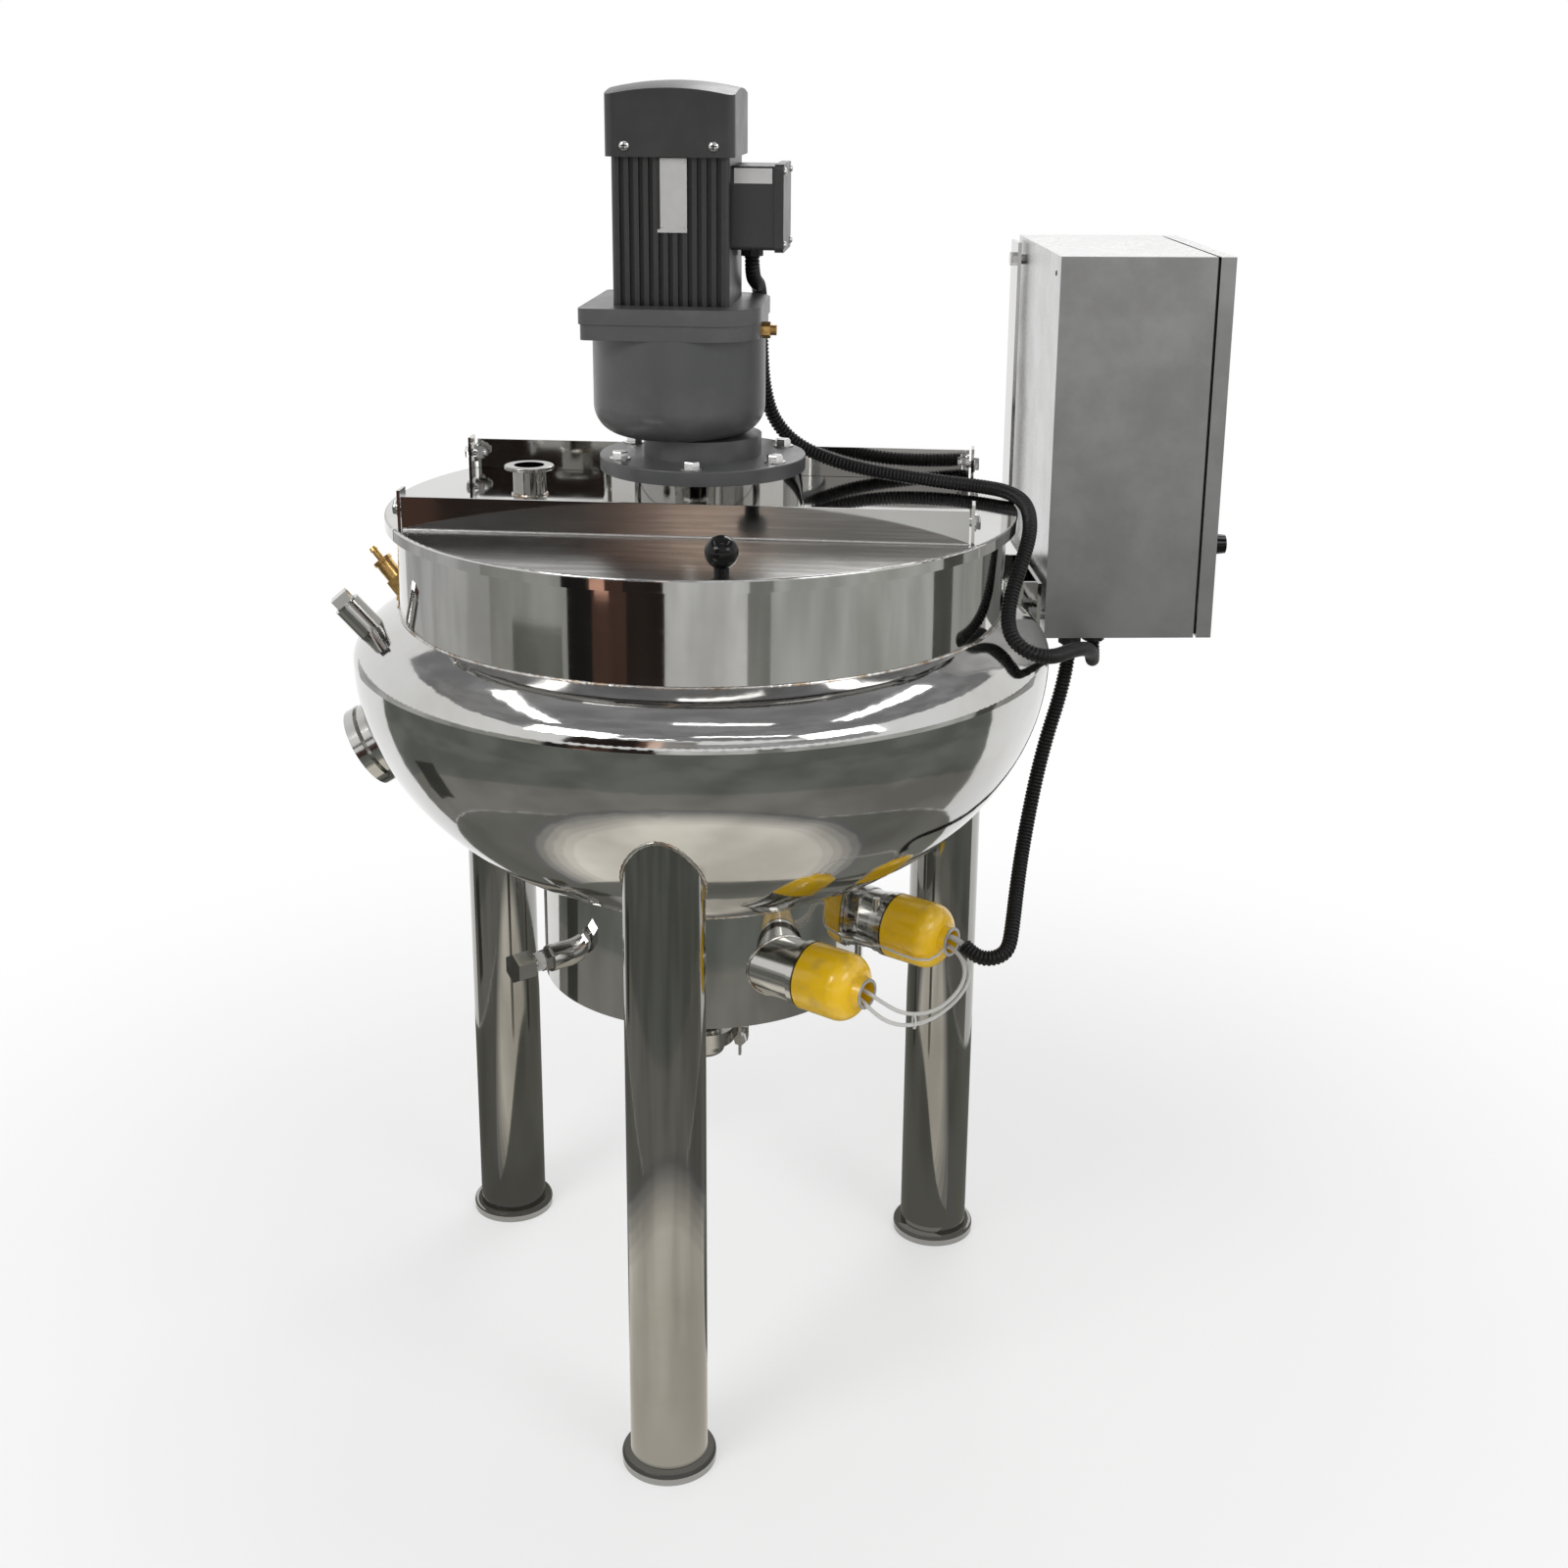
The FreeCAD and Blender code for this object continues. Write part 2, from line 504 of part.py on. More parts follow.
# Agitator inside the pot: a shaft and an anchor bar that follows the wall.
anchor_arms = "anchor_top - jacket_level"
anchor_ring = cut("AnchorRing",
                  union("AnchorOuter", dish("AnchorDish", "anchor_radius", "anchor_depth", False),
                        cylinder("AnchorArms", "anchor_radius", anchor_arms, z="jacket_level")),
                  dish("AnchorDishInner", "anchor_radius - anchor_width",
                       "anchor_depth - anchor_width", False),
                  cylinder("AnchorInner", "anchor_radius - anchor_width",
                           anchor_arms + " + cut_past", z="jacket_level"))
anchor_bar = overlap("AnchorBar", anchor_ring,
                     slab("AnchorSlice", "2 * anchor_radius + cut_past", "anchor_sheet",
                          anchor_arms + " + anchor_depth + 2 * cut_past",
                          z="jacket_level - anchor_depth - cut_past"))
node("agitator", union("Agitator", anchor_bar,
                       cylinder("AgitatorShaft", "shaft_radius", "spool_top - shaft_low", z="shaft_low"),
                       cylinder("AnchorBrace", "brace_radius", "2 * (anchor_radius - brace_inset)",
                                x="brace_inset - anchor_radius", z="anchor_top - brace_drop", pitch=90)))

# Bottom outlet with a clamped cap.
outlet_body = union("OutletBody",
                    cylinder("OutletTube", "outlet_radius", "pot_foot + outlet_sink - outlet_level",
                             z="outlet_level"),
                    cylinder("OutletFlange", "outlet_flange_radius", "outlet_flange_height",
                             z="outlet_level"))
node("outlet_ferrule", cut("OutletFerrule", outlet_body,
                           cylinder("OutletBore", "outlet_radius - outlet_sheet",
                                    "pot_foot - outlet_level + 2 * cut_past", z="outlet_level - cut_past"),
                           dish("OutletPotCut", "pot_radius", "pot_dish_depth", False)))
cap_body = cylinder("OutletCapBody", "cap_dome_radius", "cap_dome_height - cap_disc_height",
                    z="outlet_level - cap_dome_height")
node("outlet_cap", union("OutletCap", cylinder("OutletCapDisc", "outlet_flange_radius", "cap_disc_height",
                                               z="outlet_level - cap_disc_height - cap_disc_gap"),
                         rounded("OutletCapDome", cap_body, "cap_dome_round",
                                 circle_at("outlet_level - cap_dome_height"))))
clamp_low = "outlet_level - cap_disc_gap / 2 - clamp_height / 2"
clamp_ring = cut("ClampRing", cylinder("ClampOuter", "clamp_radius", "clamp_height", z=clamp_low),
                 cylinder("ClampInner", "outlet_flange_radius + clamp_play", "clamp_height + 2 * cut_past",
                          z=clamp_low + " - cut_past"))
node("outlet_clamp", union("OutletClamp", clamp_ring, block("ClampLug", "lug_length", "lug_width",
                                                            "clamp_height", x="clamp_radius - weld_sink",
                                                            y="-lug_width / 2", z=clamp_low),
                           cylinder("ClampScrew", "screw_radius", "screw_length", x="screw_reach",
                                    y="-screw_length / 2", z=clamp_low + " + clamp_height / 2", roll=-90)))


def on_jacket(word, inset, level):
    """Where a fitting starts inside the jacket, turned and tilted outwards."""
    turn, tilt = word + "_turn", word + "_tilt"
    return {"x": "(jacket_radius - %s) * cos(%s)" % (inset, turn),
            "y": "(jacket_radius - %s) * sin(%s)" % (inset, turn), "z": "jacket_level + " + level,
            "yaw": turn, "pitch": "90 - " + tilt}


# Fittings on the jacket: safety valve, fill socket with its plug, sight glass.
valve_stack = stack("ValveStack", ("round", "valve_pipe_radius", "valve_pipe_length"),
                    ("hexagon", "valve_nut_radius", "valve_nut_length"),
                    ("round", "valve_pipe_radius", "valve_body_length"),
                    ("round", "valve_shoulder_radius", "valve_shoulder_length"),
                    ("round", "valve_stem_radius", "valve_stem_length"),
                    ("cone", ("barb_wide", "barb_narrow"), "barb_length"))
node("safety_valve", cut("SafetyValve", place(valve_stack,
                                              **on_jacket("valve", "valve_inset", "valve_rise")),
                         copy_of("ValveJacketCut", jacket_outer)))
fill_place = on_jacket("fill", "fill_inset", "fill_rise")
fill_tube = place(stack("FillTube", ("round", "fill_tube_radius", "fill_tube_length")), **fill_place)
node("fill_socket", cut("FillSocket", fill_tube, copy_of("FillJacketCut", jacket_outer)))
plug_stack = stack("PlugStack", ("round", "plug_collar_radius", "plug_collar_length"),
                   ("square", "plug_head_width", "plug_head_length"))
out = "fill_tube_length * cos(fill_tilt)"
node("fill_plug", plug_stack, x=fill_place["x"] + " + %s * cos(fill_turn)" % out,
     y=fill_place["y"] + " + %s * sin(fill_turn)" % out,
     z=fill_place["z"] + " + fill_tube_length * sin(fill_tilt)", yaw="fill_turn", pitch="90 - fill_tilt")
sight_place = on_jacket("sight", "sight_inset", "(-sight_drop)")
sight_stack = stack("SightStack", ("round", "sight_neck_radius", "sight_neck_length"),
                    ("round", "sight_collar_radius", "sight_collar_length"),
                    ("round", "sight_neck_radius", "sight_waist_length"),
                    ("round", "sight_ring_radius", "sight_ring_length"))
sight_tube = cut("SightTube", sight_stack, cylinder("SightBore", "sight_bore_radius",
                                                    "sight_ring_length + pane_start + cut_past",
                                                    z="sight_bore_start"))
node("sight_glass_body", cut("SightBody", place(sight_tube, **sight_place),
                             copy_of("SightJacketCut", jacket_outer)))
out = "pane_start * cos(sight_tilt)"
node("sight_glass_pane", cylinder("SightPane", "sight_bore_radius", "pane_thick"),
     x=sight_place["x"] + " + %s * cos(sight_turn)" % out,
     y=sight_place["y"] + " + %s * sin(sight_turn)" % out,
     z=sight_place["z"] + " + pane_start * sin(sight_tilt)", yaw="sight_turn", pitch="90 - sight_tilt")

# Drain on the heater well.
well_cut = cylinder("WellFittingCut", "well_radius", "well_height + 2 * cut_past",
                    z="well_bottom - cut_past")
drain_stack = stack("DrainStack", ("round", "drain_socket_radius", "drain_socket_length"),
                    ("hexagon", "drain_nut_radius", "drain_nut_length"),
                    ("round", "drain_pipe_radius", "drain_pipe_length"),
                    ("hexagon", "drain_cap_radius", "drain_cap_length"))
place(drain_stack, x="(well_radius - drain_inset) * cos(drain_turn)",
      y="(well_radius - drain_inset) * sin(drain_turn)", z="well_bottom + drain_rise", yaw="drain_turn",
      pitch=90)
node("drain_stub", cut("DrainStub", drain_stack, well_cut))

# Heater sockets and their yellow caps, side by side at a slant to the well.
sockets, caps = [], []


def on_heater(name, along):
    """A place on one heater's axis, with the axis's turn."""
    side = name + "_heater_side"
    return {"x": "%s * cos(heater_turn) - %s * sin(heater_turn)" % (along, side),
            "y": "%s * sin(heater_turn) + %s * cos(heater_turn)" % (along, side),
            "z": "well_bottom + heater_rise", "yaw": "heater_turn", "pitch": 90}


for name in ("front", "back"):
    key = name.capitalize()
    tube = stack(key + "SocketStack", ("round", "heater_radius",
                                       "(heater_length - heater_lip - heater_ring_width)"),
                 ("round", "heater_radius + heater_ring_step", "heater_ring_width"),
                 ("round", "heater_radius", "heater_lip"))
    sockets.append(cut(key + "HeaterSocket", place(tube, **on_heater(name, "heater_start")),
                       copy_of(key + "SocketWellCut", well_cut),
                       copy_of(key + "SocketJacketCut", jacket_low)))
    cap_end = cylinder(key + "CapBody", "cap_radius", "cap_length")
    nose = cone(key + "CapNose", "nose_wide", "nose_narrow", "nose_length + nose_sink",
                z="cap_length - nose_sink")
    cap = cut(key + "HeaterCap", union(key + "CapStack",
                                       rounded(key + "CapDome", cap_end, "cap_round",
                                               circle_at("cap_length")), nose),
              cylinder(key + "CapBore", "cap_hole", "cap_length + cut_past", z="cap_floor"))
    caps.append(place(cap, **on_heater(name, "heater_reach")))
node("heater_sockets", together("HeaterSockets", *sockets))
node("heater_caps", together("HeaterCaps", *caps))

# Control cabinet, built square and then turned into place.
cabinet_place = {"x": "cabinet_x", "y": "cabinet_y", "z": "cabinet_z", "yaw": "cabinet_turn"}
shell = cut("CabinetShell", block("CabinetOuter", "cabinet_depth", "cabinet_width", "cabinet_height"),
            block("CabinetInner", "cabinet_depth", "cabinet_width - 2 * cabinet_sheet",
                  "cabinet_height - 2 * cabinet_sheet", x="cabinet_sheet", y="cabinet_sheet",
                  z="cabinet_sheet"))
door_pan = cut("DoorPan", block("DoorOuter", "door_depth", "cabinet_width", "cabinet_height",
                                x="door_start"), block("DoorInner", "door_depth",
                                                       "cabinet_width - 2 * door_sheet",
                                                       "cabinet_height - 2 * door_sheet",
                                                       x="door_start - door_sheet", y="door_sheet",
                                                       z="door_sheet"))
fixed_leaves, door_leaves, door_bores = [], [], []
for word, low in (("Low", "hinge_inset"), ("High", "cabinet_height - hinge_inset - hinge_height")):
    axis = {"x": "hinge_axis_x", "y": "hinge_axis_y"}
    middle = low + " + hinge_height / 2"
    fixed_leaves.append(cylinder("HingePin" + word, "hinge_pin", "hinge_height", z=low, **axis))
    fixed_leaves.append(cylinder("HingeKnuckle" + word, "hinge_radius", "hinge_half", z=low, **axis))
    fixed_leaves.append(block("HingeLeaf" + word, "leaf_length", "leaf_sheet", "hinge_half",
                              x="cabinet_depth + arm_back - leaf_length", y="cabinet_width", z=low))
    fixed_leaves.append(block("HingeArm" + word, "arm_length", "arm_width", "hinge_half",
                              x="cabinet_depth - arm_back", y="cabinet_width + arm_side", z=low))
    door_leaves.append(cylinder("DoorKnuckle" + word, "hinge_radius", "hinge_half",
                                z=middle + " + hinge_split", **axis))
    door_leaves.append(block("DoorLeaf" + word, "door_leaf_length", "door_leaf_width", "hinge_half",
                             x="door_start + door_leaf_out", y="cabinet_width - door_leaf_sink",
                             z=middle + " + hinge_split"))
    door_bores.append(cylinder("DoorBore" + word, "hinge_pin + hinge_play", "hinge_height", z=middle,
                               **axis))
node("cabinet_body", union("CabinetBody", shell, *fixed_leaves), **cabinet_place)
node("cabinet_door", cut("CabinetDoor", union("DoorBody", door_pan, *door_leaves), *door_bores),
     **cabinet_place)
cos_turn, sin_turn = "cos(cabinet_turn)", "sin(cabinet_turn)"
latch_x = "(door_start + door_depth)"
node("door_knob", union("DoorKnob", cylinder("KnobBezel", "latch_radius + bezel_step", "bezel_height",
                                             pitch=90),
                        cone("KnobGrip", "latch_radius", "latch_radius - latch_taper",
                             "latch_reach - bezel_height", x="bezel_height", pitch=90)),
     x="cabinet_x + %s * %s - latch_side * %s" % (latch_x, cos_turn, sin_turn),
     y="cabinet_y + %s * %s + latch_side * %s" % (latch_x, sin_turn, cos_turn), z="cabinet_z + latch_level",
     yaw="cabinet_turn")

# Bracket: an upturned plate on two arms welded to the jacket, and a long strap at the back.
rail = block("BracketRail", "strap_sheet", "cabinet_width", "rail_height", x="rail_start", z="bracket_low")
strap = block("BracketStrap", "strap_sheet", "strap_width", "strap_top - bracket_high + weld_sink",
              x="rail_start", y="cabinet_width - strap_width", z="bracket_high - weld_sink")
arms = [block("BracketArm" + word, "bracket_arm_length", "bracket_arm_sheet",
              "rail_height - 2 * bracket_arm_inset", x="rail_start + weld_sink - bracket_arm_length",
              y=along, z="bracket_low + bracket_arm_inset") for word,
        along in (("Near", "near_arm_side"), ("Far", "far_arm_side"))]
studs, stud_holes = [], []
for word, along, level in (("NearLow", "stud_inset", "stud_level"),
                           ("FarLow", "cabinet_width - stud_inset", "stud_level"),
                           ("FarHigh", "cabinet_width - stud_inset", "strap_top - stud_level")):
    spot = {"y": along, "z": level, "pitch": 90}
    shank = cylinder("StudShank" + word, "screw_radius", "strap_sheet", x="rail_start", **spot)
    studs.append(union("Stud" + word, shank,
                       hexagon("StudHead" + word, "stud_head_radius", "stud_head_height",
                               x="rail_start - stud_head_height", **spot),
                       cylinder("StudSpacer" + word, "spacer_radius", "strap_gap", x="-strap_gap", **spot)))
    stud_holes.append(copy_of("StudHole" + word, shank))
node("cabinet_bolts", together("CabinetBolts", *studs), **cabinet_place)
bracket = place(cut("BracketBody", union("BracketPlates", rail, strap, *arms), *stud_holes),
                **cabinet_place)
node("cabinet_bracket", cut("CabinetBracket", bracket, copy_of("BracketJacketCut", jacket_outer),
                            cylinder("BracketPotCut", "pot_radius", "rim_top - jacket_level",
                                     z="jacket_level")))

# Cords: straight runs joined by tangent arcs. Their points are chosen by hand, from the kettle's axis.


def cord_shape(points, radius):
    """A round tube along a route, with its tightest bend and its length printed."""
    points = [FreeCAD.Vector(*p) for p in points]
    edges, start, bends = [], points[0], []
    for before, corner, after in zip(points, points[1:], points[2:]):
        back, ahead = before - corner, after - corner
        half = (math.pi - back.getAngle(ahead)) / 2
        reach = 0.45 * min(back.Length, ahead.Length)
        bend = reach / math.tan(half)
        back.normalize()
        ahead.normalize()
        first, last = corner + back * reach, corner + ahead * reach
        middle = (back + ahead).normalize()
        top = corner + middle * (bend / math.cos(half) - bend)
        edges.append(Part.makeLine(start, first))
        edges.append(Part.Arc(first, top, last).toShape())
        bends.append(round(bend, 1))
        start = last
    edges.append(Part.makeLine(start, points[-1]))
    path = Part.Wire(edges)
    along = path.Edges[0].tangentAt(path.Edges[0].FirstParameter)
    profile = Part.Wire(Part.makeCircle(radius, points[0], along))
    tube = path.makePipeShell([profile], True, False)
    print("bends", bends)
    print("volume over section times length %.4f" % (tube.Volume / (math.pi * radius ** 2 * path.Length)))
    print("length %.1f, radius %.1f" % (path.Length, radius))
    return tube


def cord(label, name, routes):
    obj = doc.addObject("Part::Feature", name)
    tubes = [cord_shape(route, amount(radius)) for route, radius in routes]
    obj.Shape = tubes[0] if len(tubes) == 1 else Part.makeCompound(tubes)
    return node(label, obj)


motor_route = [(46, 26, 1156), (46, 26, 1139), (46, 37, 1124), (46, 62, 1117), (46, 96, 1110),
               (45, 124, 1086), (45, 133, 1047), (48, 131, 1001), (59, 126, 966), (85, 119, 941),
               (124, 116, 926), (164, 114, 917), (204, 106, 913), (242, 92, 911), (278, 76, 911),
               (307, 53, 911), (325, 20, 905), (328, -16, 886), (319, -46, 860), (309, -72, 834),
               (306, -93, 814), (311, -110, 801), (324, -119, 792), (341, -115, 786), (354, -97, 782),
               (366, -65, 777), (380, -24, 769), (392, 22, 756), (399, 66, 740), (403, 101, 723),
               (405, 123, 715), (406, 138, 717), (406, 146.5, 728), (406, 146.5, 742.3)]
heater_route = [(380, 130, 742.3), (380, 130, 716), (372, 113, 678), (359, 94, 638), (349, 72, 601),
                (341, 46, 565), (334, 14, 532), (329, -20, 504), (325.2, -54, 480.5), (321.8, -76, 465),
                (313.3, -85.8, 459.7), (300.1, -90.1, 457.9), (286.5, -87.6, 460.3), (277, -79, 466)]
high_lead_route = [(145.13, -169.72, 469), (164, -181.5, 469), (182, -193, 466), (199, -203, 459),
                   (216, -206, 451), (236, -195, 445), (255, -168, 440), (271, -138, 443), (278, -121, 453),
                   (275, -106, 463), (266, -90, 467), (258, -71, 462), (240.8, -58.5, 460),
                   (222.03, -46.72, 460)]
low_lead_route = [(141.99, -174.75, 463), (160.8, -186.5, 463), (177, -197, 459.5), (189, -206, 451),
                  (203, -212, 444), (220, -209, 439), (238, -194, 436), (254, -171, 434.5),
                  (271, -140, 436), (282, -118, 446), (281, -104, 455), (272, -91, 460),
                  (262.5, -64.5, 459), (245, -51.7, 458), (226.26, -39.93, 458)]
bundle_route = [
    (224.14, -43.32, 465), (237.7, -51.8, 465), (252, -61, 468.5), (266, -70.3, 471.5), (277, -79, 466)]
cord("motor_conduit", "MotorConduit", [(motor_route, "motor_conduit_radius")])
cord("heater_conduit", "HeaterConduit", [(heater_route, "heater_conduit_radius")])
cord("heater_leads", "HeaterLeads",
     [(high_lead_route, "lead_radius"), (low_lead_route, "lead_radius"), (bundle_route, "bundle_radius")])

doc.recompute()
faults = 0
for obj in doc.Objects:
    if obj.State and obj.State != ["Up-to-date"]:
        print("state", obj.Name, obj.State)
        faults += 1
    if hasattr(obj, "Shape") and (obj.Shape.isNull() or not obj.Shape.isValid()):
        print("shape", obj.Name)
        faults += 1
if faults:
    raise SystemExit("%d faults" % faults)
for label, obj in nodes.items():
    shape = obj.Shape
    print("%-18s solids %d volume %.0f" % (label, len(shape.Solids), shape.Volume))
    shape.exportStep("parts/%s.step" % label)
print(len(nodes), "nodes")
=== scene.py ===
import math

import bmesh
import bpy
from mathutils import Matrix, Vector


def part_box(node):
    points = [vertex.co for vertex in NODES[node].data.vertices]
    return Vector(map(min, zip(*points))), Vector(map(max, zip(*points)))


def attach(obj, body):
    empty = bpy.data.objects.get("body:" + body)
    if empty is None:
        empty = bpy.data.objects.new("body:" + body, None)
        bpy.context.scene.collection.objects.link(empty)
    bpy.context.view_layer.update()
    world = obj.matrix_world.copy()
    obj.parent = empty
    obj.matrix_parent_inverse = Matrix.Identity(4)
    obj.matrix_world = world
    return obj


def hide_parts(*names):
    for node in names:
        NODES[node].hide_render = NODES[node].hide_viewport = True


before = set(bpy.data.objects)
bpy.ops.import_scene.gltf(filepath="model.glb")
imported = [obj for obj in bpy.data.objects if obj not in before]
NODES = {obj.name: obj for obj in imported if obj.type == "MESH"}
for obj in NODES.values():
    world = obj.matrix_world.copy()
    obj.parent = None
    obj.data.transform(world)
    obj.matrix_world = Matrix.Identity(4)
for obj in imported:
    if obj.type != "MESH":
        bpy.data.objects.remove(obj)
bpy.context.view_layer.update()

MM = 0.001
pot_low, pot_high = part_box("pot_wall")
AXIS = Vector(((pot_low.x + pot_high.x) / 2, (pot_low.y + pot_high.y) / 2, 0))
UP = Vector((0, 0, 1))


def at(x, y, z):
    """A point measured in millimetres from the kettle's own axis on the floor."""
    return AXIS + Vector((x, y, z)) * MM


# Camera

CAMERA_PLACE = (249.9, -1951.2, 1322.3)
CAMERA_LOOK = Vector((-0.08179, 0.95531, -0.28404))
CAMERA_ROLL = 0.008
CAMERA_LENS = 45.74
CAMERA_SHIFT = -0.0802
SENSOR_WIDTH = 36
CLIP_NEAR, CLIP_FAR = 0.05, 60


def make_camera():
    data = bpy.data.cameras.new("photo_camera")
    data.lens = CAMERA_LENS
    data.sensor_width = SENSOR_WIDTH
    data.shift_y = CAMERA_SHIFT
    data.clip_start, data.clip_end = CLIP_NEAR, CLIP_FAR
    camera = bpy.data.objects.new("photo_camera", data)
    bpy.context.scene.collection.objects.link(camera)
    level_right = CAMERA_LOOK.cross(UP).normalized()
    level_up = level_right.cross(CAMERA_LOOK)
    right = level_right * math.cos(CAMERA_ROLL) + level_up * math.sin(CAMERA_ROLL)
    turned = Matrix((right, right.cross(CAMERA_LOOK), -CAMERA_LOOK)).transposed()
    camera.matrix_world = Matrix.Translation(at(*CAMERA_PLACE)) @ turned.to_4x4()
    bpy.context.scene.camera = camera


make_camera()


# Shader building


class Signal:
    """A socket in a material's nodes. Sums and products with it add Math nodes."""

    def __init__(self, finish, socket):
        self.finish = finish
        self.socket = socket

    def __add__(self, other):
        return self.finish.node("Math", {"operation": "ADD"}, {0: self, 1: other})

    def __mul__(self, other):
        return self.finish.node("Math", {"operation": "MULTIPLY"}, {0: self, 1: other})

    __radd__ = __add__
    __rmul__ = __mul__

    def ramp(self, low, high):
        """Nought below low, one above high and smooth between them."""
        settings = {"interpolation_type": "SMOOTHSTEP"}
        return self.finish.node("MapRange", settings, {"Value": self, "From Min": low, "From Max": high})


class Finish:
    """One material with a Principled shader, whose nodes are added by name."""

    def __init__(self, name, **constant):
        self.material = bpy.data.materials.new(name)
        self.material.use_nodes = True
        self.tree = self.material.node_tree
        self.shader = self.tree.nodes["Principled BSDF"]
        for word, value in constant.items():
            socket = word.replace("_", " ").title().replace("Ior", "IOR")
            self.shader.inputs[socket].default_value = value

    def node(self, kind, settings=None, inputs=None, output=0):
        made = self.tree.nodes.new("ShaderNode" + kind)
        for name, value in (settings or {}).items():
            setattr(made, name, value)
        for name, value in (inputs or {}).items():
            self.feed(made.inputs[name], value)
        return Signal(self, made.outputs[output])

    def feed(self, socket, value):
        if isinstance(value, Signal):
            self.tree.links.new(value.socket, socket)
        else:
            socket.default_value = value

    def place(self):
        """The place on the object, in metres."""
        return self.node("TexCoord", output="Object")

    def stretched(self, x, y, z):
        return self.node("VectorMath", {"operation": "MULTIPLY"}, {0: self.place(), 1: (x, y, z)})

    def facing(self, name):
        """How far the surface faces along one of the object's own axes."""
        return self.node("SeparateXYZ", inputs={0: self.node("TexCoord", output="Normal")}, output=name)

    def noise(self, scale, detail=2, rough=0.5, vector=None):
        inputs = {"Vector": vector or self.place(), "Scale": scale, "Detail": detail, "Roughness": rough}
        return self.node("TexNoise", inputs=inputs)

    def mix(self, factor, first, second):
        inputs = {0: factor, 6: first, 7: second}
        return self.node("Mix", {"data_type": "RGBA"}, inputs, output=2)

    def bump(self, height, strength, distance):
        return self.node("Bump", inputs={"Height": height, "Strength": strength, "Distance": distance})

    def done(self, colour, roughness, normal=None):
        self.feed(self.shader.inputs["Base Color"], colour)
        self.feed(self.shader.inputs["Roughness"], roughness)
        if normal:
            self.feed(self.shader.inputs["Normal"], normal)
        return self.material


GREEN_SHARE = 0.6


def grey(level, warm=0.0):
    """A colour of that level, with red and green lifted over blue by the warm share."""
    return (level * (1 + warm), level * (1 + warm * GREEN_SHARE), level * (1 - warm), 1)


# Materials


def polished_steel(name, level=0.58, wave=0.25, rough=0.05, warm=0.01, top_rough=0.0):
    """Hand-polished stainless sheet: nearly a mirror, slightly wavy, with faint smears.

    With a top roughness, the faces that look up are duller and scratched, and their scratches are painted
    darker: partly wear, partly painted shade standing in for the dim reflection on top faces.
    """
    finish = Finish(name, metallic=1.0)
    smears = finish.noise(scale=7, detail=4, rough=0.6)
    wiping = finish.noise(scale=26, detail=3, vector=finish.stretched(1, 1, 6))
    colour = finish.mix(smears.ramp(0.4, 0.75), grey(level, warm), grey(level * 0.86, warm + 0.03))
    spread = rough + smears.ramp(0.5, 0.8) * 0.05 + wiping.ramp(0.45, 0.8) * 0.03
    if top_rough:
        upward = finish.facing("Z").ramp(0.8, 0.95)
        scratches = finish.noise(scale=90, detail=3, vector=finish.stretched(0.12, 1, 1))
        spread = spread + upward * (top_rough + scratches * 0.08)
        # scratch wear on upward faces, also painted darker as painted shade for their dim reflection
        worn_and_shaded = upward * scratches.ramp(0.3, 0.6)
        colour = finish.mix(worn_and_shaded, colour, grey(level * 0.6, warm + 0.03))
    normal = finish.bump(finish.noise(scale=5, detail=1), strength=wave, distance=0.004)
    return finish.done(colour, spread, normal)


def brushed_steel():
    """The cabinet's sheet: a fine upright grain; its near face is rougher and painted darker as painted
    shade.
    """
    finish = Finish("brushed_sheet", metallic=1.0)
    near = (finish.facing("Y") * -1.0).ramp(0.6, 0.9)
    mottle = finish.noise(scale=16, detail=5, rough=0.6).ramp(0.3, 0.7)
    grain = finish.noise(scale=160, detail=4, vector=finish.stretched(1, 1, 0.08))
    side_tone = finish.mix(mottle, grey(0.56), grey(0.5, 0.01))
    # painted shade: the near face takes this darker copy of the sheet's tone
    shaded_near_tone = finish.mix(mottle, grey(0.36), grey(0.29, 0.012))
    colour = finish.mix(near, side_tone, shaded_near_tone)
    spread = 0.2 + near * 0.16 + mottle * 0.05 + grain * 0.08
    return finish.done(colour, spread, finish.bump(grain, strength=0.12, distance=0.0005))


def marked(finish, scale, detail, tones, rough, rough_gain, strength, distance):
    """The plain finish of the small pieces: one noise sets the tone, the roughness and a slight relief."""
    marks = finish.noise(scale, detail)
    normal = finish.bump(marks, strength, distance) if strength else None
    return finish.done(finish.mix(marks, *tones), rough + marks * rough_gain, normal)


def bright_fastener():
    finish = Finish("bright_fastener", metallic=1.0)
    return marked(finish, scale=220, detail=3, tones=(grey(0.7), grey(0.5, 0.03)), rough=0.16,
                  rough_gain=0.15, strength=0.1, distance=0.0004)


def charcoal_paint(name, level, rough):
    """Satin machine paint with a little orange peel and dust."""
    finish = Finish(name, specular_ior_level=0.5)
    peel = finish.noise(scale=260, detail=2)
    dust = finish.noise(scale=14, detail=5, rough=0.65)
    colour = finish.mix(dust.ramp(0.4, 0.75), grey(level, -0.02), grey(level * 1.35, 0.0))
    spread = rough + dust.ramp(0.3, 0.8) * 0.14
    return finish.done(colour, spread, finish.bump(peel, strength=0.12, distance=0.0008))


def brass():
    finish = Finish("brass", metallic=1.0)
    stain = finish.noise(scale=120, detail=4)
    colour = finish.mix(stain.ramp(0.35, 0.7), (0.72, 0.47, 0.17, 1), (0.42, 0.25, 0.09, 1))
    return finish.done(colour, 0.22 + stain * 0.2, finish.bump(stain, strength=0.1, distance=0.0005))


def bare_plate():
    finish = Finish("bare_plate", metallic=0.7)
    return marked(finish, scale=70, detail=4, tones=(grey(0.62), grey(0.5)), rough=0.38,
                  rough_gain=0.1, strength=0.05, distance=0.0003)


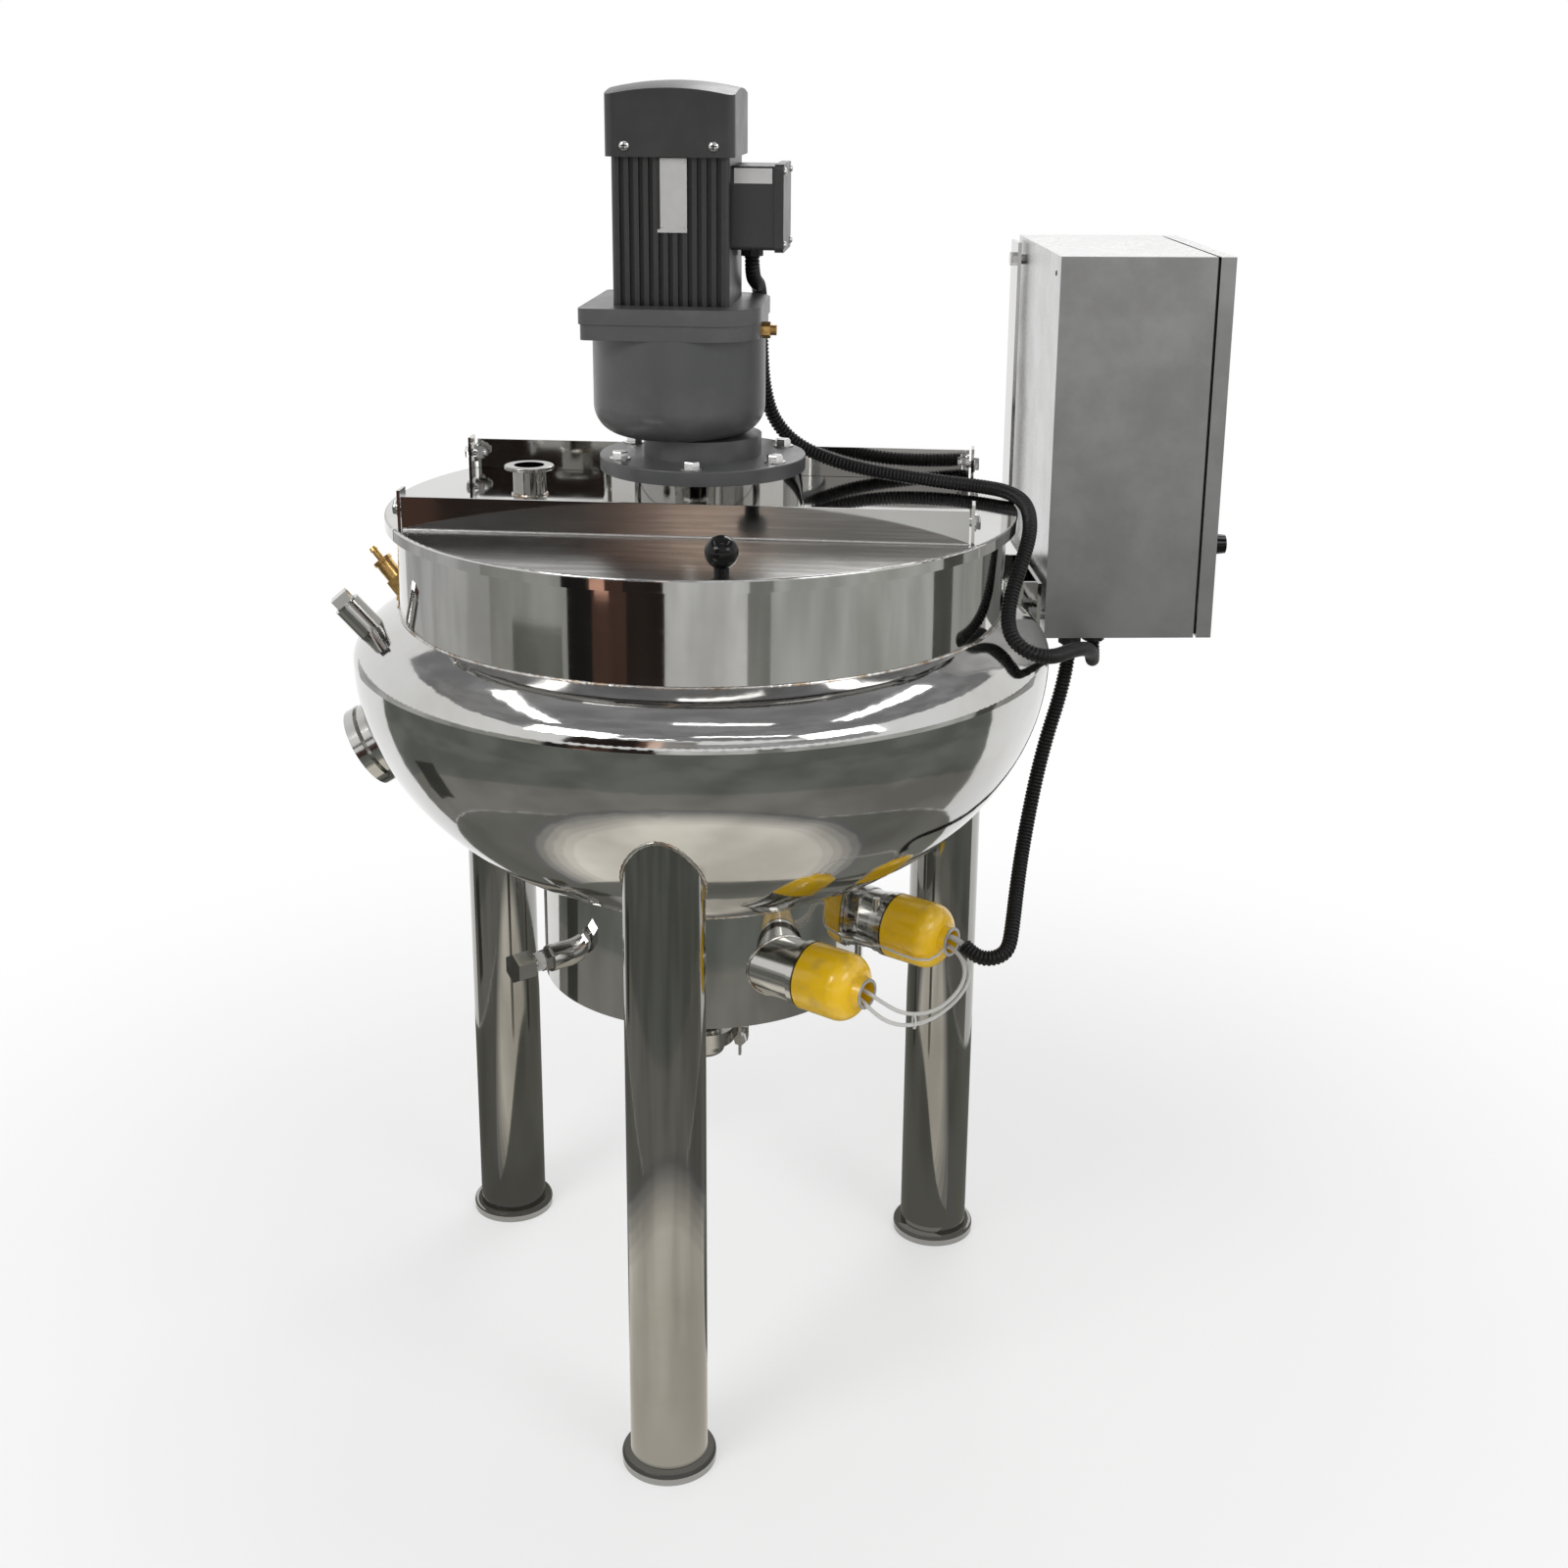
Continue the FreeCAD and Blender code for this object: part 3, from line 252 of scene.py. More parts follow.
def black_knob():
    finish = Finish("black_knob", specular_ior_level=0.22)
    return marked(finish, scale=60, detail=3, tones=(grey(0.004), grey(0.009)), rough=0.05,
                  rough_gain=0.08, strength=0.02, distance=0.0005)


def thick_glass():
    finish = Finish("thick_glass", transmission_weight=1.0, ior=1.5)
    return marked(finish, scale=40, detail=3, tones=((0.82, 0.92, 0.87, 1), (0.7, 0.84, 0.78, 1)), rough=0.02,
                  rough_gain=0.05, strength=0, distance=0)


def yellow_cap():
    """Glossy moulding with grey smudges from handling."""
    finish = Finish("yellow_cap", coat_weight=0.35, coat_roughness=0.12)
    smudge = finish.noise(scale=38, detail=5, rough=0.65).ramp(0.52, 0.72)
    colour = finish.mix(smudge * 0.45, (0.9, 0.55, 0.008, 1), (0.42, 0.27, 0.05, 1))
    pores = finish.noise(scale=180, detail=2)
    return finish.done(colour, 0.22 + smudge * 0.25, finish.bump(pores, strength=0.12, distance=0.0006))


def black_conduit():
    finish = Finish("black_conduit", specular_ior_level=0.28)
    return marked(finish, scale=50, detail=4, tones=(grey(0.005), grey(0.012)), rough=0.28,
                  rough_gain=0.16, strength=0.05, distance=0.0005)


def woven_lead():
    """Glass-fibre sleeve: white with a fine slanting weave."""
    finish = Finish("woven_lead")
    inputs = {"Vector": finish.place(), "Scale": 420.0, "Distortion": 1.5}
    weave = finish.node("TexWave", {"bands_direction": "DIAGONAL"}, inputs)
    tone = finish.mix(weave * 0.6, grey(0.66, 0.02), grey(0.42, 0.04))
    return finish.done(tone, 0.7, finish.bump(weave, strength=0.4, distance=0.0006))


def matt_black():
    """Rubber and plastic collars, and painted shade: the dark inside of openings and screw recesses."""
    finish = Finish("matt_black")
    return marked(finish, scale=90, detail=3, tones=(grey(0.006), grey(0.02)), rough=0.55,
                  rough_gain=0.2, strength=0.1, distance=0.0004)


def weld_seam():
    """Bright TIG bead with straw-coloured and dark heat marks."""
    finish = Finish("weld_seam", metallic=1.0)
    heat = finish.noise(scale=60, detail=4, rough=0.6)
    colour = finish.mix(heat.ramp(0.4, 0.7), grey(0.6, 0.02), (0.3, 0.22, 0.15, 1))
    grit = finish.noise(scale=420, detail=2)
    return finish.done(colour, 0.16 + heat * 0.2, finish.bump(grit, strength=0.3, distance=0.0006))


MIRROR = polished_steel("mirror_sheet")
BOWL = polished_steel("bowl_sheet", wave=0.6, rough=0.07)
# the lid's upward faces are rougher, scratched and painted darker, partly as painted shade
LID = polished_steel("lid_sheet", top_rough=0.14)
TUBE = polished_steel("mirror_tube", level=0.36, wave=0.2, rough=0.08, warm=0.03)
FITTING = polished_steel("fitting_steel", level=0.52, wave=0.3, rough=0.12, warm=0.02)
BRUSHED = brushed_steel()
BOLT = bright_fastener()
MOTOR_PAINT = charcoal_paint("motor_paint", level=0.023, rough=0.3)
GEAR_PAINT = charcoal_paint("gear_paint", level=0.072, rough=0.28)
BLACK = matt_black()
SEAM = weld_seam()
BRASS = brass()
PLATE = bare_plate()
KNOB = black_knob()
GLASS = thick_glass()
YELLOW = yellow_cap()
CONDUIT = black_conduit()
SLEEVE = woven_lead()

WEARS = {
    MIRROR: ["pot_wall", "pot_bottom", "lid_bridge", "motor_spool", "heater_well", "cabinet_bracket"],
    LID: ["front_lid", "back_lid"],
    BOWL: ["jacket_shell"],
    TUBE: ["front_leg", "right_leg", "left_leg", "leg_feet", "lid_port"],
    FITTING: ["outlet_ferrule", "outlet_cap", "outlet_clamp", "fill_socket", "fill_plug",
              "sight_glass_body", "drain_stub", "heater_sockets", "agitator"],
    BRUSHED: ["cabinet_body", "cabinet_door"],
    BOLT: ["lid_bolts", "cabinet_bolts"],
    MOTOR_PAINT: ["motor_body", "fan_cover", "terminal_box", "terminal_cover"],
    GEAR_PAINT: ["output_flange", "gear_case", "gear_plate"],
    BRASS: ["oil_plug", "safety_valve"],
    PLATE: ["name_plate"],
    KNOB: ["front_lid_knob", "back_lid_knob", "door_knob"],
    GLASS: ["sight_glass_pane"],
    YELLOW: ["heater_caps"],
    CONDUIT: ["motor_conduit", "heater_conduit"],
    SLEEVE: ["heater_leads"],
}
for material, names in WEARS.items():
    for name in names:
        for slot in NODES[name].material_slots:
            slot.material = material


# Mesh helpers

SHARP_ANGLE = 38
CURVE_STEPS = 10
TINY = 1e-9


def add_piece(name, mesh, body, material):
    """A finished mesh or curve as one piece that rides on a body."""
    piece = bpy.data.objects.new(name, mesh)
    bpy.context.scene.collection.objects.link(piece)
    mesh.materials.append(material)
    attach(piece, body)
    return piece


def smooth_line(name, route):
    """A cord's line: a NURBS curve through the room that its route's points span."""
    curve = bpy.data.curves.new(name, "CURVE")
    curve.dimensions = "3D"
    curve.resolution_u = CURVE_STEPS
    spline = curve.splines.new("NURBS")
    spline.points.add(len(route) - 1)
    for point, place in zip(spline.points, route):
        point.co = (*at(*place), 1)
    spline.order_u = 3
    spline.use_endpoint_u = True
    return curve


def points_along(curve, step):
    """Evenly spaced points on a curve that has no bevel, and the curve's length."""
    holder = bpy.data.objects.new("line_holder", curve)
    bpy.context.scene.collection.objects.link(holder)
    bpy.context.view_layer.update()
    seen = bpy.data.meshes.new_from_object(holder.evaluated_get(bpy.context.evaluated_depsgraph_get()))
    fine = [vertex.co.copy() for vertex in seen.vertices]
    bpy.data.objects.remove(holder)
    bpy.data.meshes.remove(seen)
    whole = sum((b - a).length for a, b in zip(fine, fine[1:]))
    count = round(whole / step)
    gap = whole / count
    points, carried = [fine[0]], 0.0
    for a, b in zip(fine, fine[1:]):
        piece = (b - a).length
        reach = gap - carried
        while reach <= piece + TINY and len(points) < count:
            points.append(a.lerp(b, reach / piece))
            reach += gap
        carried = (carried + piece) % gap if reach > piece else 0.0
    points.append(fine[-1])
    return points, whole


def square_profile(inner, outer, low, high):
    """The outline of a plain disc or ring for a turned solid."""
    return [(inner, low), (outer, low), (outer, high), (inner, high)]


class Mould:
    """Gathers turned, tubular and square solids into one mesh."""

    def __init__(self):
        self.made = bmesh.new()

    def skin(self, rings, closed=False):
        """Faces between rings of vertices, with flat ends unless the last ring meets the first."""
        sides = len(rings[0])
        following = rings[1:] + rings[:1] if closed else rings[1:]
        for low, high in zip(rings, following):
            for k in range(sides):
                self.made.faces.new((low[k], low[(k + 1) % sides], high[(k + 1) % sides], high[k]))
        if not closed:
            self.made.faces.new(list(reversed(rings[0])))
            self.made.faces.new(rings[-1])

    def lathe(self, profile, centre, axis, sides=32, closed=False):
        """A turned solid: radius and height pairs in millimetres about an axis."""
        axis = Vector(axis).normalized()
        side = axis.orthogonal().normalized()
        up = axis.cross(side)
        rings = []
        for radius, height in profile:
            ring = []
            for k in range(sides):
                angle = math.tau * k / sides
                spoke = side * math.cos(angle) + up * math.sin(angle)
                ring.append(self.made.verts.new(at(*centre) + (spoke * radius + axis * height) * MM))
            rings.append(ring)
        self.skin(rings, closed)

    def tube(self, points, radii, sides=12, closed=False):
        """A tube with a radius at each point, whose frame is carried along so that it doesn't twist."""
        count = len(points)
        side = (points[1] - points[0]).orthogonal().normalized()
        rings = []
        for i, point in enumerate(points):
            if closed:
                before, after = points[i - 1], points[(i + 1) % count]
            else:
                before, after = points[max(i - 1, 0)], points[min(i + 1, count - 1)]
            heading = (after - before).normalized()
            side = (side - heading * side.dot(heading)).normalized()
            up = heading.cross(side)
            ring = []
            for k in range(sides):
                angle = math.tau * k / sides
                spoke = side * math.cos(angle) + up * math.sin(angle)
                ring.append(self.made.verts.new(point + spoke * radii[i]))
            rings.append(ring)
        self.skin(rings, closed)

    def prism(self, corners, levels, placed):
        """An upright prism: corners at a low and a high level, in the frame that placed turns into points."""
        rings = []
        for level in levels:
            rings.append([self.made.verts.new(placed(x, y, level)) for x, y in corners])
        self.skin(rings)

    def block(self, low, high):
        """A box between two corners, in millimetres from the kettle's axis."""
        corners = ((low[0], low[1]), (high[0], low[1]), (high[0], high[1]), (low[0], high[1]))
        self.prism(corners, (low[2], high[2]), at)

    def mesh(self, name):
        bmesh.ops.recalc_face_normals(self.made, faces=self.made.faces)
        mesh = bpy.data.meshes.new(name)
        self.made.to_mesh(mesh)
        self.made.free()
        mesh.shade_smooth()
        mesh.set_sharp_from_angle(angle=math.radians(SHARP_ANGLE))
        return mesh

    def piece(self, name, material, slot, body="kettle", stands_for=()):
        made = add_piece(name, self.mesh(name), body, material)
        if stands_for:
            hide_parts(*stands_for)
        return made


# Cords

RING_PITCH = 4.0
RING_DEPTH = 1.3
RING_STEPS = 6
RING_FULLNESS = 0.6
CONDUIT_SIDES = 18
PATH_STEP = 4
LEAD_BEVEL = 4
MOTOR_CONDUIT_RADIUS = 7.5
HEATER_CONDUIT_RADIUS = 8
LEAD_RADIUS = 2
BUNDLE_RADIUS = 3

MOTOR_ROUTE = [
    (46, 26, 1156), (46, 26, 1139), (46, 37, 1124), (46, 62, 1117), (46, 96, 1110), (45, 124, 1086),
    (45, 133, 1047), (48, 131, 1001), (59, 126, 966), (85, 119, 941), (124, 116, 926), (164, 114, 917),
    (204, 106, 913), (242, 92, 911), (278, 76, 911), (307, 53, 911), (325, 20, 905), (328, -16, 886),
    (319, -46, 860), (309, -72, 834), (306, -93, 814), (311, -110, 801), (324, -119, 792), (341, -115, 786),
    (354, -97, 782), (366, -65, 777), (380, -24, 769), (392, 22, 756), (399, 66, 740), (403, 101, 723),
    (405, 123, 715), (406, 138, 717), (406, 146.5, 728), (406, 146.5, 742.3)]
HEATER_ROUTE = [
    (380, 130, 742.3), (380, 130, 716), (372, 113, 678), (359, 94, 638), (349, 72, 601), (341, 46, 565),
    (334, 14, 532), (329, -20, 504), (325.2, -54, 480.5), (321.8, -76, 465), (313.3, -85.8, 459.7),
    (300.1, -90.1, 457.9), (286.5, -87.6, 460.3), (277, -79, 466)]
HIGH_LEAD_ROUTE = [
    (145.13, -169.72, 469), (164, -181.5, 469), (182, -193, 466), (199, -203, 459), (216, -206, 451),
    (236, -195, 445), (255, -168, 440), (271, -138, 443), (278, -121, 453), (275, -106, 463), (266, -90, 467),
    (258, -71, 462), (240.8, -58.5, 460), (222.03, -46.72, 460)]
LOW_LEAD_ROUTE = [
    (141.99, -174.75, 463), (160.8, -186.5, 463), (177, -197, 459.5), (189, -206, 451), (203, -212, 444),
    (220, -209, 439), (238, -194, 436), (254, -171, 434.5), (271, -140, 436), (282, -118, 446),
    (281, -104, 455), (272, -91, 460), (262.5, -64.5, 459), (245, -51.7, 458), (226.26, -39.93, 458)]
BUNDLE_ROUTE = [
    (224.14, -43.32, 465), (237.7, -51.8, 465), (252, -61, 468.5), (266, -70.3, 471.5), (277, -79, 466)]


def add_conduit(name, node, route, radius):
    """Ringed plastic conduit along its route, between two places on the kettle."""
    points, length = points_along(smooth_line(name + "_line", route), RING_PITCH / RING_STEPS * MM)
    radii = []
    for i in range(len(points)):
        crest = 0.5 + 0.5 * math.cos(math.tau * i / RING_STEPS)
        radii.append((radius - RING_DEPTH * (1 - crest ** RING_FULLNESS)) * MM)
    mould = Mould()
    mould.tube(points, radii, CONDUIT_SIDES)
    piece = mould.piece(name, CONDUIT, "conduit_plastic", stands_for=[node])
    middle = points[:1] + points[PATH_STEP:-PATH_STEP:PATH_STEP] + points[-1:]


def add_lead(name, route, radius):
    """A smooth lead along its route, between two places on the kettle."""
    curve = smooth_line(name, route)
    length = points_along(curve, MM)[1]
    curve.bevel_depth = radius * MM
    curve.bevel_resolution = LEAD_BEVEL
    curve.use_fill_caps = True
    piece = add_piece(name, curve, "kettle", SLEEVE)
    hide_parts("heater_leads")


add_conduit("ringed_motor_conduit", "motor_conduit", MOTOR_ROUTE, MOTOR_CONDUIT_RADIUS)
add_conduit("ringed_heater_conduit", "heater_conduit", HEATER_ROUTE, HEATER_CONDUIT_RADIUS)
add_lead("high_lead", HIGH_LEAD_ROUTE, LEAD_RADIUS)
add_lead("low_lead", LOW_LEAD_ROUTE, LEAD_RADIUS)
add_lead("lead_bundle", BUNDLE_ROUTE, BUNDLE_RADIUS)


# Lid fasteners

FLANGE_TOP = 954
FLANGE_BOLT_CIRCLE = 88
FLANGE_BOLT_COUNT = 6
FLANGE_FIRST_BOLT = -90
FLANGE_HEAD = {"radius": 8.3, "height": 7.4, "washer": 10.5}
PIVOT_SIDE, PIVOT_LEVEL = 143, 921
PIVOT_HEAD = {"radius": 7.3, "height": 5.4, "washer": 8.6}
PIVOT_NUT = {"radius": 7.3, "height": 6.2, "washer": 8.6}
PIVOT_SHANK_RADIUS, PIVOT_SHANK_PAST = 3.9, 3
EAR_OUTER, BAR_INNER, NUT_INNER = 271, 263.5, 257
WASHER_THICKNESS = 1.2
CHAMFER_START, CHAMFER_END = 0.82, 0.9
BAR_HALF, BAR_FACE, BAR_FOOT = 266, 155.5, 902.6
FOLD_RADIUS, FOLD_END_GAP = 1.6, 1


def hex_bolt(mould, centre, axis, radius, height, washer):
    """A chamfered hexagon head on a thin washer."""
    mould.lathe(square_profile(0, washer, 0, WASHER_THICKNESS), centre, axis)
    head = [(0, WASHER_THICKNESS), (radius, WASHER_THICKNESS), (radius, height * CHAMFER_START),
            (radius * CHAMFER_END, height), (0, height)]
    mould.lathe(head, centre, axis, sides=6)


def lid_bolts():
    mould = Mould()
    for k in range(FLANGE_BOLT_COUNT):
        angle = math.radians(360 / FLANGE_BOLT_COUNT * k + FLANGE_FIRST_BOLT)
        spot = (FLANGE_BOLT_CIRCLE * math.cos(angle), FLANGE_BOLT_CIRCLE * math.sin(angle), FLANGE_TOP)
        hex_bolt(mould, spot, (0, 0, 1), **FLANGE_HEAD)
    shank = square_profile(0, PIVOT_SHANK_RADIUS, 0, EAR_OUTER - NUT_INNER + PIVOT_SHANK_PAST)
    for side in (-1, 1):
        for front in (-1, 1):
            y = front * PIVOT_SIDE
            hex_bolt(mould, (side * EAR_OUTER, y, PIVOT_LEVEL), (side, 0, 0), **PIVOT_HEAD)
            hex_bolt(mould, (side * BAR_INNER, y, PIVOT_LEVEL), (-side, 0, 0), **PIVOT_NUT)
            start = (side * (NUT_INNER - PIVOT_SHANK_PAST), y, PIVOT_LEVEL)
            mould.lathe(shank, start, (side, 0, 0), sides=16)
    mould.piece("lid_bolts_with_washers", BOLT, "bright_fasteners", stands_for=["lid_bolts"])


def lid_folds():
    """The bright bend at the foot of each half lid's bar."""
    for name, way in (("front_lid", -1), ("back_lid", 1)):
        mould = Mould()
        ends = [at(side * (BAR_HALF - FOLD_END_GAP), way * BAR_FACE, BAR_FOOT) for side in (-1, 1)]
        mould.tube(ends, [FOLD_RADIUS * MM] * 2)
        mould.piece(name + "_fold", BOLT, "polished_steel", body=name)


# Gear motor

DRIVE_X = -23
COVER_FACE, MOTOR_FACE = 61.5, 57.0
COVER_SCREW_SIDE, COVER_SCREW_LEVEL, COVER_SCREW_RADIUS = 42, 1252, 5
CROSS_ARM, CROSS_HALF_WIDTH, CROSS_LOW, CROSS_HIGH = 2.8, 0.5, 1.6, 2.7
TERMINAL_FACE, TERMINAL_LID_FACE = 39, 82.5
TERMINAL_SCREW_SIDE, TERMINAL_SCREW_LEVELS, TERMINAL_SCREW_RADIUS = 33, (1161, 1229), 3.6
PLATE_SET_IN = 0.5
EDGE_STRIP = {"span": (-35, -32.4), "levels": (1176, 1241), "proud": 0.3}
LOWER_STRIP = {"span": (-35, -7), "levels": (1173, 1175), "proud": 0.4}
STICKER = {"span": (35.5, 71.5), "levels": (1218, 1232), "proud": 0.25}
RIVETS = ((-30.5, 1178.5), (-9.5, 1178.5), (-30.5, 1238), (-9.5, 1238))
RIVET_PROFILE = [(0, 0), (1.3, 0), (1.1, 0.5), (0, 0.7)]
TERMINAL_SEAL = ((73.4, -38, 1157), (75.2, 38, 1233))
COLLARS = ((46, 26, 1156.5, 13), (380, 130, 742.6, 14), (406, 146.5, 742.6, 14))
COLLAR_STEP, COLLAR_NUT, COLLAR_LENGTH = 2, 4, 11


def screw_head(mould, centre, axis, radius):
    """A domed screw head; its cross recess is a black piece of its own, painted shade."""
    dome = [(0, 0), (radius, 0), (radius, 0.7), (radius * 0.85, 1.7), (radius * 0.5, 2.4), (0, 2.6)]
    mould.lathe(dome, centre, axis, sides=20)


def motor_screws():
    heads, cross_shades = Mould(), Mould()
    for front in (-1, 1):
        low, high = sorted((front * (COVER_FACE + CROSS_LOW), front * (COVER_FACE + CROSS_HIGH)))
        for side in (-1, 1):
            x = DRIVE_X + side * COVER_SCREW_SIDE
            screw_head(heads, (x, front * COVER_FACE, COVER_SCREW_LEVEL), (0, front, 0), COVER_SCREW_RADIUS)
            # black blocks paint each cross recess dark: painted shade
            for wide, tall in ((CROSS_ARM, CROSS_HALF_WIDTH), (CROSS_HALF_WIDTH, CROSS_ARM)):
                bottom, top = COVER_SCREW_LEVEL - tall, COVER_SCREW_LEVEL + tall
                cross_shades.block((x - wide, low, bottom), (x + wide, high, top))
    for y in (-TERMINAL_SCREW_SIDE, TERMINAL_SCREW_SIDE):
        for z in TERMINAL_SCREW_LEVELS:
            screw_head(heads, (TERMINAL_LID_FACE, y, z), (1, 0, 0), TERMINAL_SCREW_RADIUS)
    heads.piece("motor_cover_screws", BOLT, "bright_fasteners")
    cross_shades.piece("motor_screw_cross_shades", BLACK, "charcoal_paint")


def front_plate(mould, face, span, levels, proud):
    """A thin plate on a face that looks to the front, let in a little."""
    mould.block((span[0], -face - proud, levels[0]), (span[1], -face + PLATE_SET_IN, levels[1]))


def motor_plates():
    """The blank name plate's dark edge strip, rivets and lower strip, and the terminal box's bare sticker."""
    strip, silver = Mould(), Mould()
    front_plate(strip, MOTOR_FACE, **EDGE_STRIP)
    front_plate(silver, MOTOR_FACE, **LOWER_STRIP)
    for x, z in RIVETS:
        silver.lathe(RIVET_PROFILE, (x, -MOTOR_FACE, z), (0, -1, 0), sides=16)
    front_plate(silver, TERMINAL_FACE, **STICKER)
    strip.piece("name_plate_strip", BLACK, "charcoal_paint")
    silver.piece("bare_motor_plates", PLATE, "label_aluminium")


def conduit_collars():
    """The terminal box's seal, and the collars where the conduits leave that box and the cabinet."""
    mould = Mould()
    mould.block(*TERMINAL_SEAL)
    for x, y, z, wide in COLLARS:
        narrow = wide - COLLAR_STEP
        profile = [(0, 0), (wide, 0), (wide, COLLAR_NUT), (narrow, COLLAR_NUT + 1), (narrow, COLLAR_LENGTH),
                   (0, COLLAR_LENGTH)]
        mould.lathe(profile, (x, y, z), (0, 0, -1), sides=8)
    mould.piece("conduit_collars", BLACK, "conduit_plastic")


# Weld beads

LID_TOP, JACKET_LEVEL, JACKET_RADIUS, JACKET_DEPTH, SHOULDER_RISE = 902, 757, 352, 265, 89
POT_RADIUS, WELL_RADIUS, SPOOL_RADIUS = 304, 170, 100.3
PORT_PLACE, PORT_RADIUS = (-182, 25), 17.6
LEG_CIRCLE, LEG_RADIUS, LEG_TURNS = 292.5, 38, (270, 30, 150)
HEATER_TURN, HEATER_LEVEL, HEATER_RADIUS = math.radians(-32), 465, 31
HEATER_SIDES = {"front": -70, "back": 82}
HEATER_OUT = Vector((math.cos(HEATER_TURN), math.sin(HEATER_TURN), 0))
HEATER_ACROSS = Vector((-math.sin(HEATER_TURN), math.cos(HEATER_TURN), 0))
RIPPLE_DEPTH, RIPPLE_TURN = 0.15, 2.1


def bead(mould, points, radius):
    """A rippled weld bead along a closed line."""
    places = [at(*point) for point in points]
    radii = []
    for i in range(len(places)):
        radii.append(radius * (1 - RIPPLE_DEPTH + RIPPLE_DEPTH * math.sin(i * RIPPLE_TURN)) * MM)
    mould.tube(places, radii, sides=8, closed=True)


def level_ring(x, y, z, radius, count):
    turns = [math.tau * k / count for k in range(count)]
    return [(x + radius * math.cos(turn), y + radius * math.sin(turn), z) for turn in turns]


def jacket_under(x, y):
    """The height of the jacket's lower face over a place."""
    return JACKET_LEVEL - JACKET_DEPTH * math.sqrt(1 - (x * x + y * y) / JACKET_RADIUS ** 2)


def on_heater(side, along, turn=0.0, radius=0.0):
    """A point about one heater's axis, with the turn measured from its far side over its top."""
    place = HEATER_OUT * along + HEATER_ACROSS * (side + radius * math.cos(turn))
    return (place.x, place.y, HEATER_LEVEL + radius * math.sin(turn))


def socket_foot(side, count=72):
    """Where a heater socket meets the well."""
    points = []
    for k in range(count):
        turn = math.tau * k / count
        across = side + HEATER_RADIUS * math.cos(turn)
        points.append(on_heater(side, math.sqrt(WELL_RADIUS ** 2 - across ** 2), turn, HEATER_RADIUS))
    return points


def weld_beads():
    mould = Mould()
    bead(mould, level_ring(*PORT_PLACE, LID_TOP + 0.4, PORT_RADIUS, count=60), radius=1.6)
    bead(mould, level_ring(0, 0, LID_TOP + 0.3, SPOOL_RADIUS, count=300), radius=1.3)
    seam_level = JACKET_LEVEL + SHOULDER_RISE * math.sqrt(1 - (POT_RADIUS / JACKET_RADIUS) ** 2)
    bead(mould, level_ring(0, 0, seam_level, POT_RADIUS + 0.2, count=700), radius=1.5)
    bead(mould, level_ring(0, 0, jacket_under(WELL_RADIUS, 0), WELL_RADIUS + 0.3, count=400), radius=1.8)
    for turn in LEG_TURNS:
        x, y = LEG_CIRCLE * math.cos(math.radians(turn)), LEG_CIRCLE * math.sin(math.radians(turn))
        ring = level_ring(x, y, 0, LEG_RADIUS + 0.4, count=110)
        bead(mould, [(*spot[:2], jacket_under(*spot[:2])) for spot in ring], radius=1.9)
    for side in HEATER_SIDES.values():
        bead(mould, socket_foot(side), radius=1.7)
    mould.piece("weld_beads", SEAM, "polished_steel")


# Heaters

MOUTH_PLACE, MOUTH_RING = 258.6, square_profile(12.1, 15.2, 0, 1.4)
DEPTH_PLACE, DEPTH_DISC = 213.2, square_profile(0, 11.9, 0, 1)
STRAP_PLACES, STRAP_BAND = (150, 176), square_profile(31.2, 32.4, 0, 8)
STRAP_SCREW = square_profile(0, 4, -7, 7)
STRAP_SCREW_PLACE, STRAP_SCREW_TURN, STRAP_SCREW_REACH = 4, 128, 35
PROBE_TURN, PROBE_REACH = 195, 37
PROBE_RADII = {138: 2, 146: 4.2, 160: 4.2, 174: 4.2, 186: 4.2, 192: 1.5}
PROBE_WIRE = [
    (192, 195, 37), (206, 196, 37.5), (222, 198, 38), (238, 202, 36), (250, 205, 30), (257, 200, 22),
    (259, 190, 13), (256, 185, 8), (246, 180, 6)]
PROBE_LOOP = [
    (149, 192, 38), (141, 180, 40), (136, 160, 42), (138, 140, 41), (147, 132, 38), (152, 140, 37),
    (160, 160, 38), (166, 180, 39.5)]
TIE_MIDDLE, TIE_REACH, TIE_POINTS = (229, -200.5, 440.2), (-1.6, 2.8, 7.2), 24


def heater_mouths():
    """Grey ring washers at the caps' mouths, and black discs deep behind them as painted shade inside the
    caps.
    """
    rings, shade_discs = Mould(), Mould()
    for side in HEATER_SIDES.values():
        rings.lathe(MOUTH_RING, on_heater(side, MOUTH_PLACE), HEATER_OUT, sides=36, closed=True)
        # black disc inside each cap: painted shade for the dark inside
        shade_discs.lathe(DEPTH_DISC, on_heater(side, DEPTH_PLACE), HEATER_OUT, sides=24)
    rings.piece("cap_ring_washers", PLATE, "bright_fasteners")
    shade_discs.piece("cap_depth_shades", BLACK, "yellow_plastic")


def heater_wire(mould, side, bends, radius):
    """A wire about a heater: places along its axis, each with a turn in degrees and a reach."""
    line = [at(*on_heater(side, along, math.radians(turn), reach)) for along, turn, reach in bends]
    mould.tube(line, [radius * MM] * len(line), sides=10)


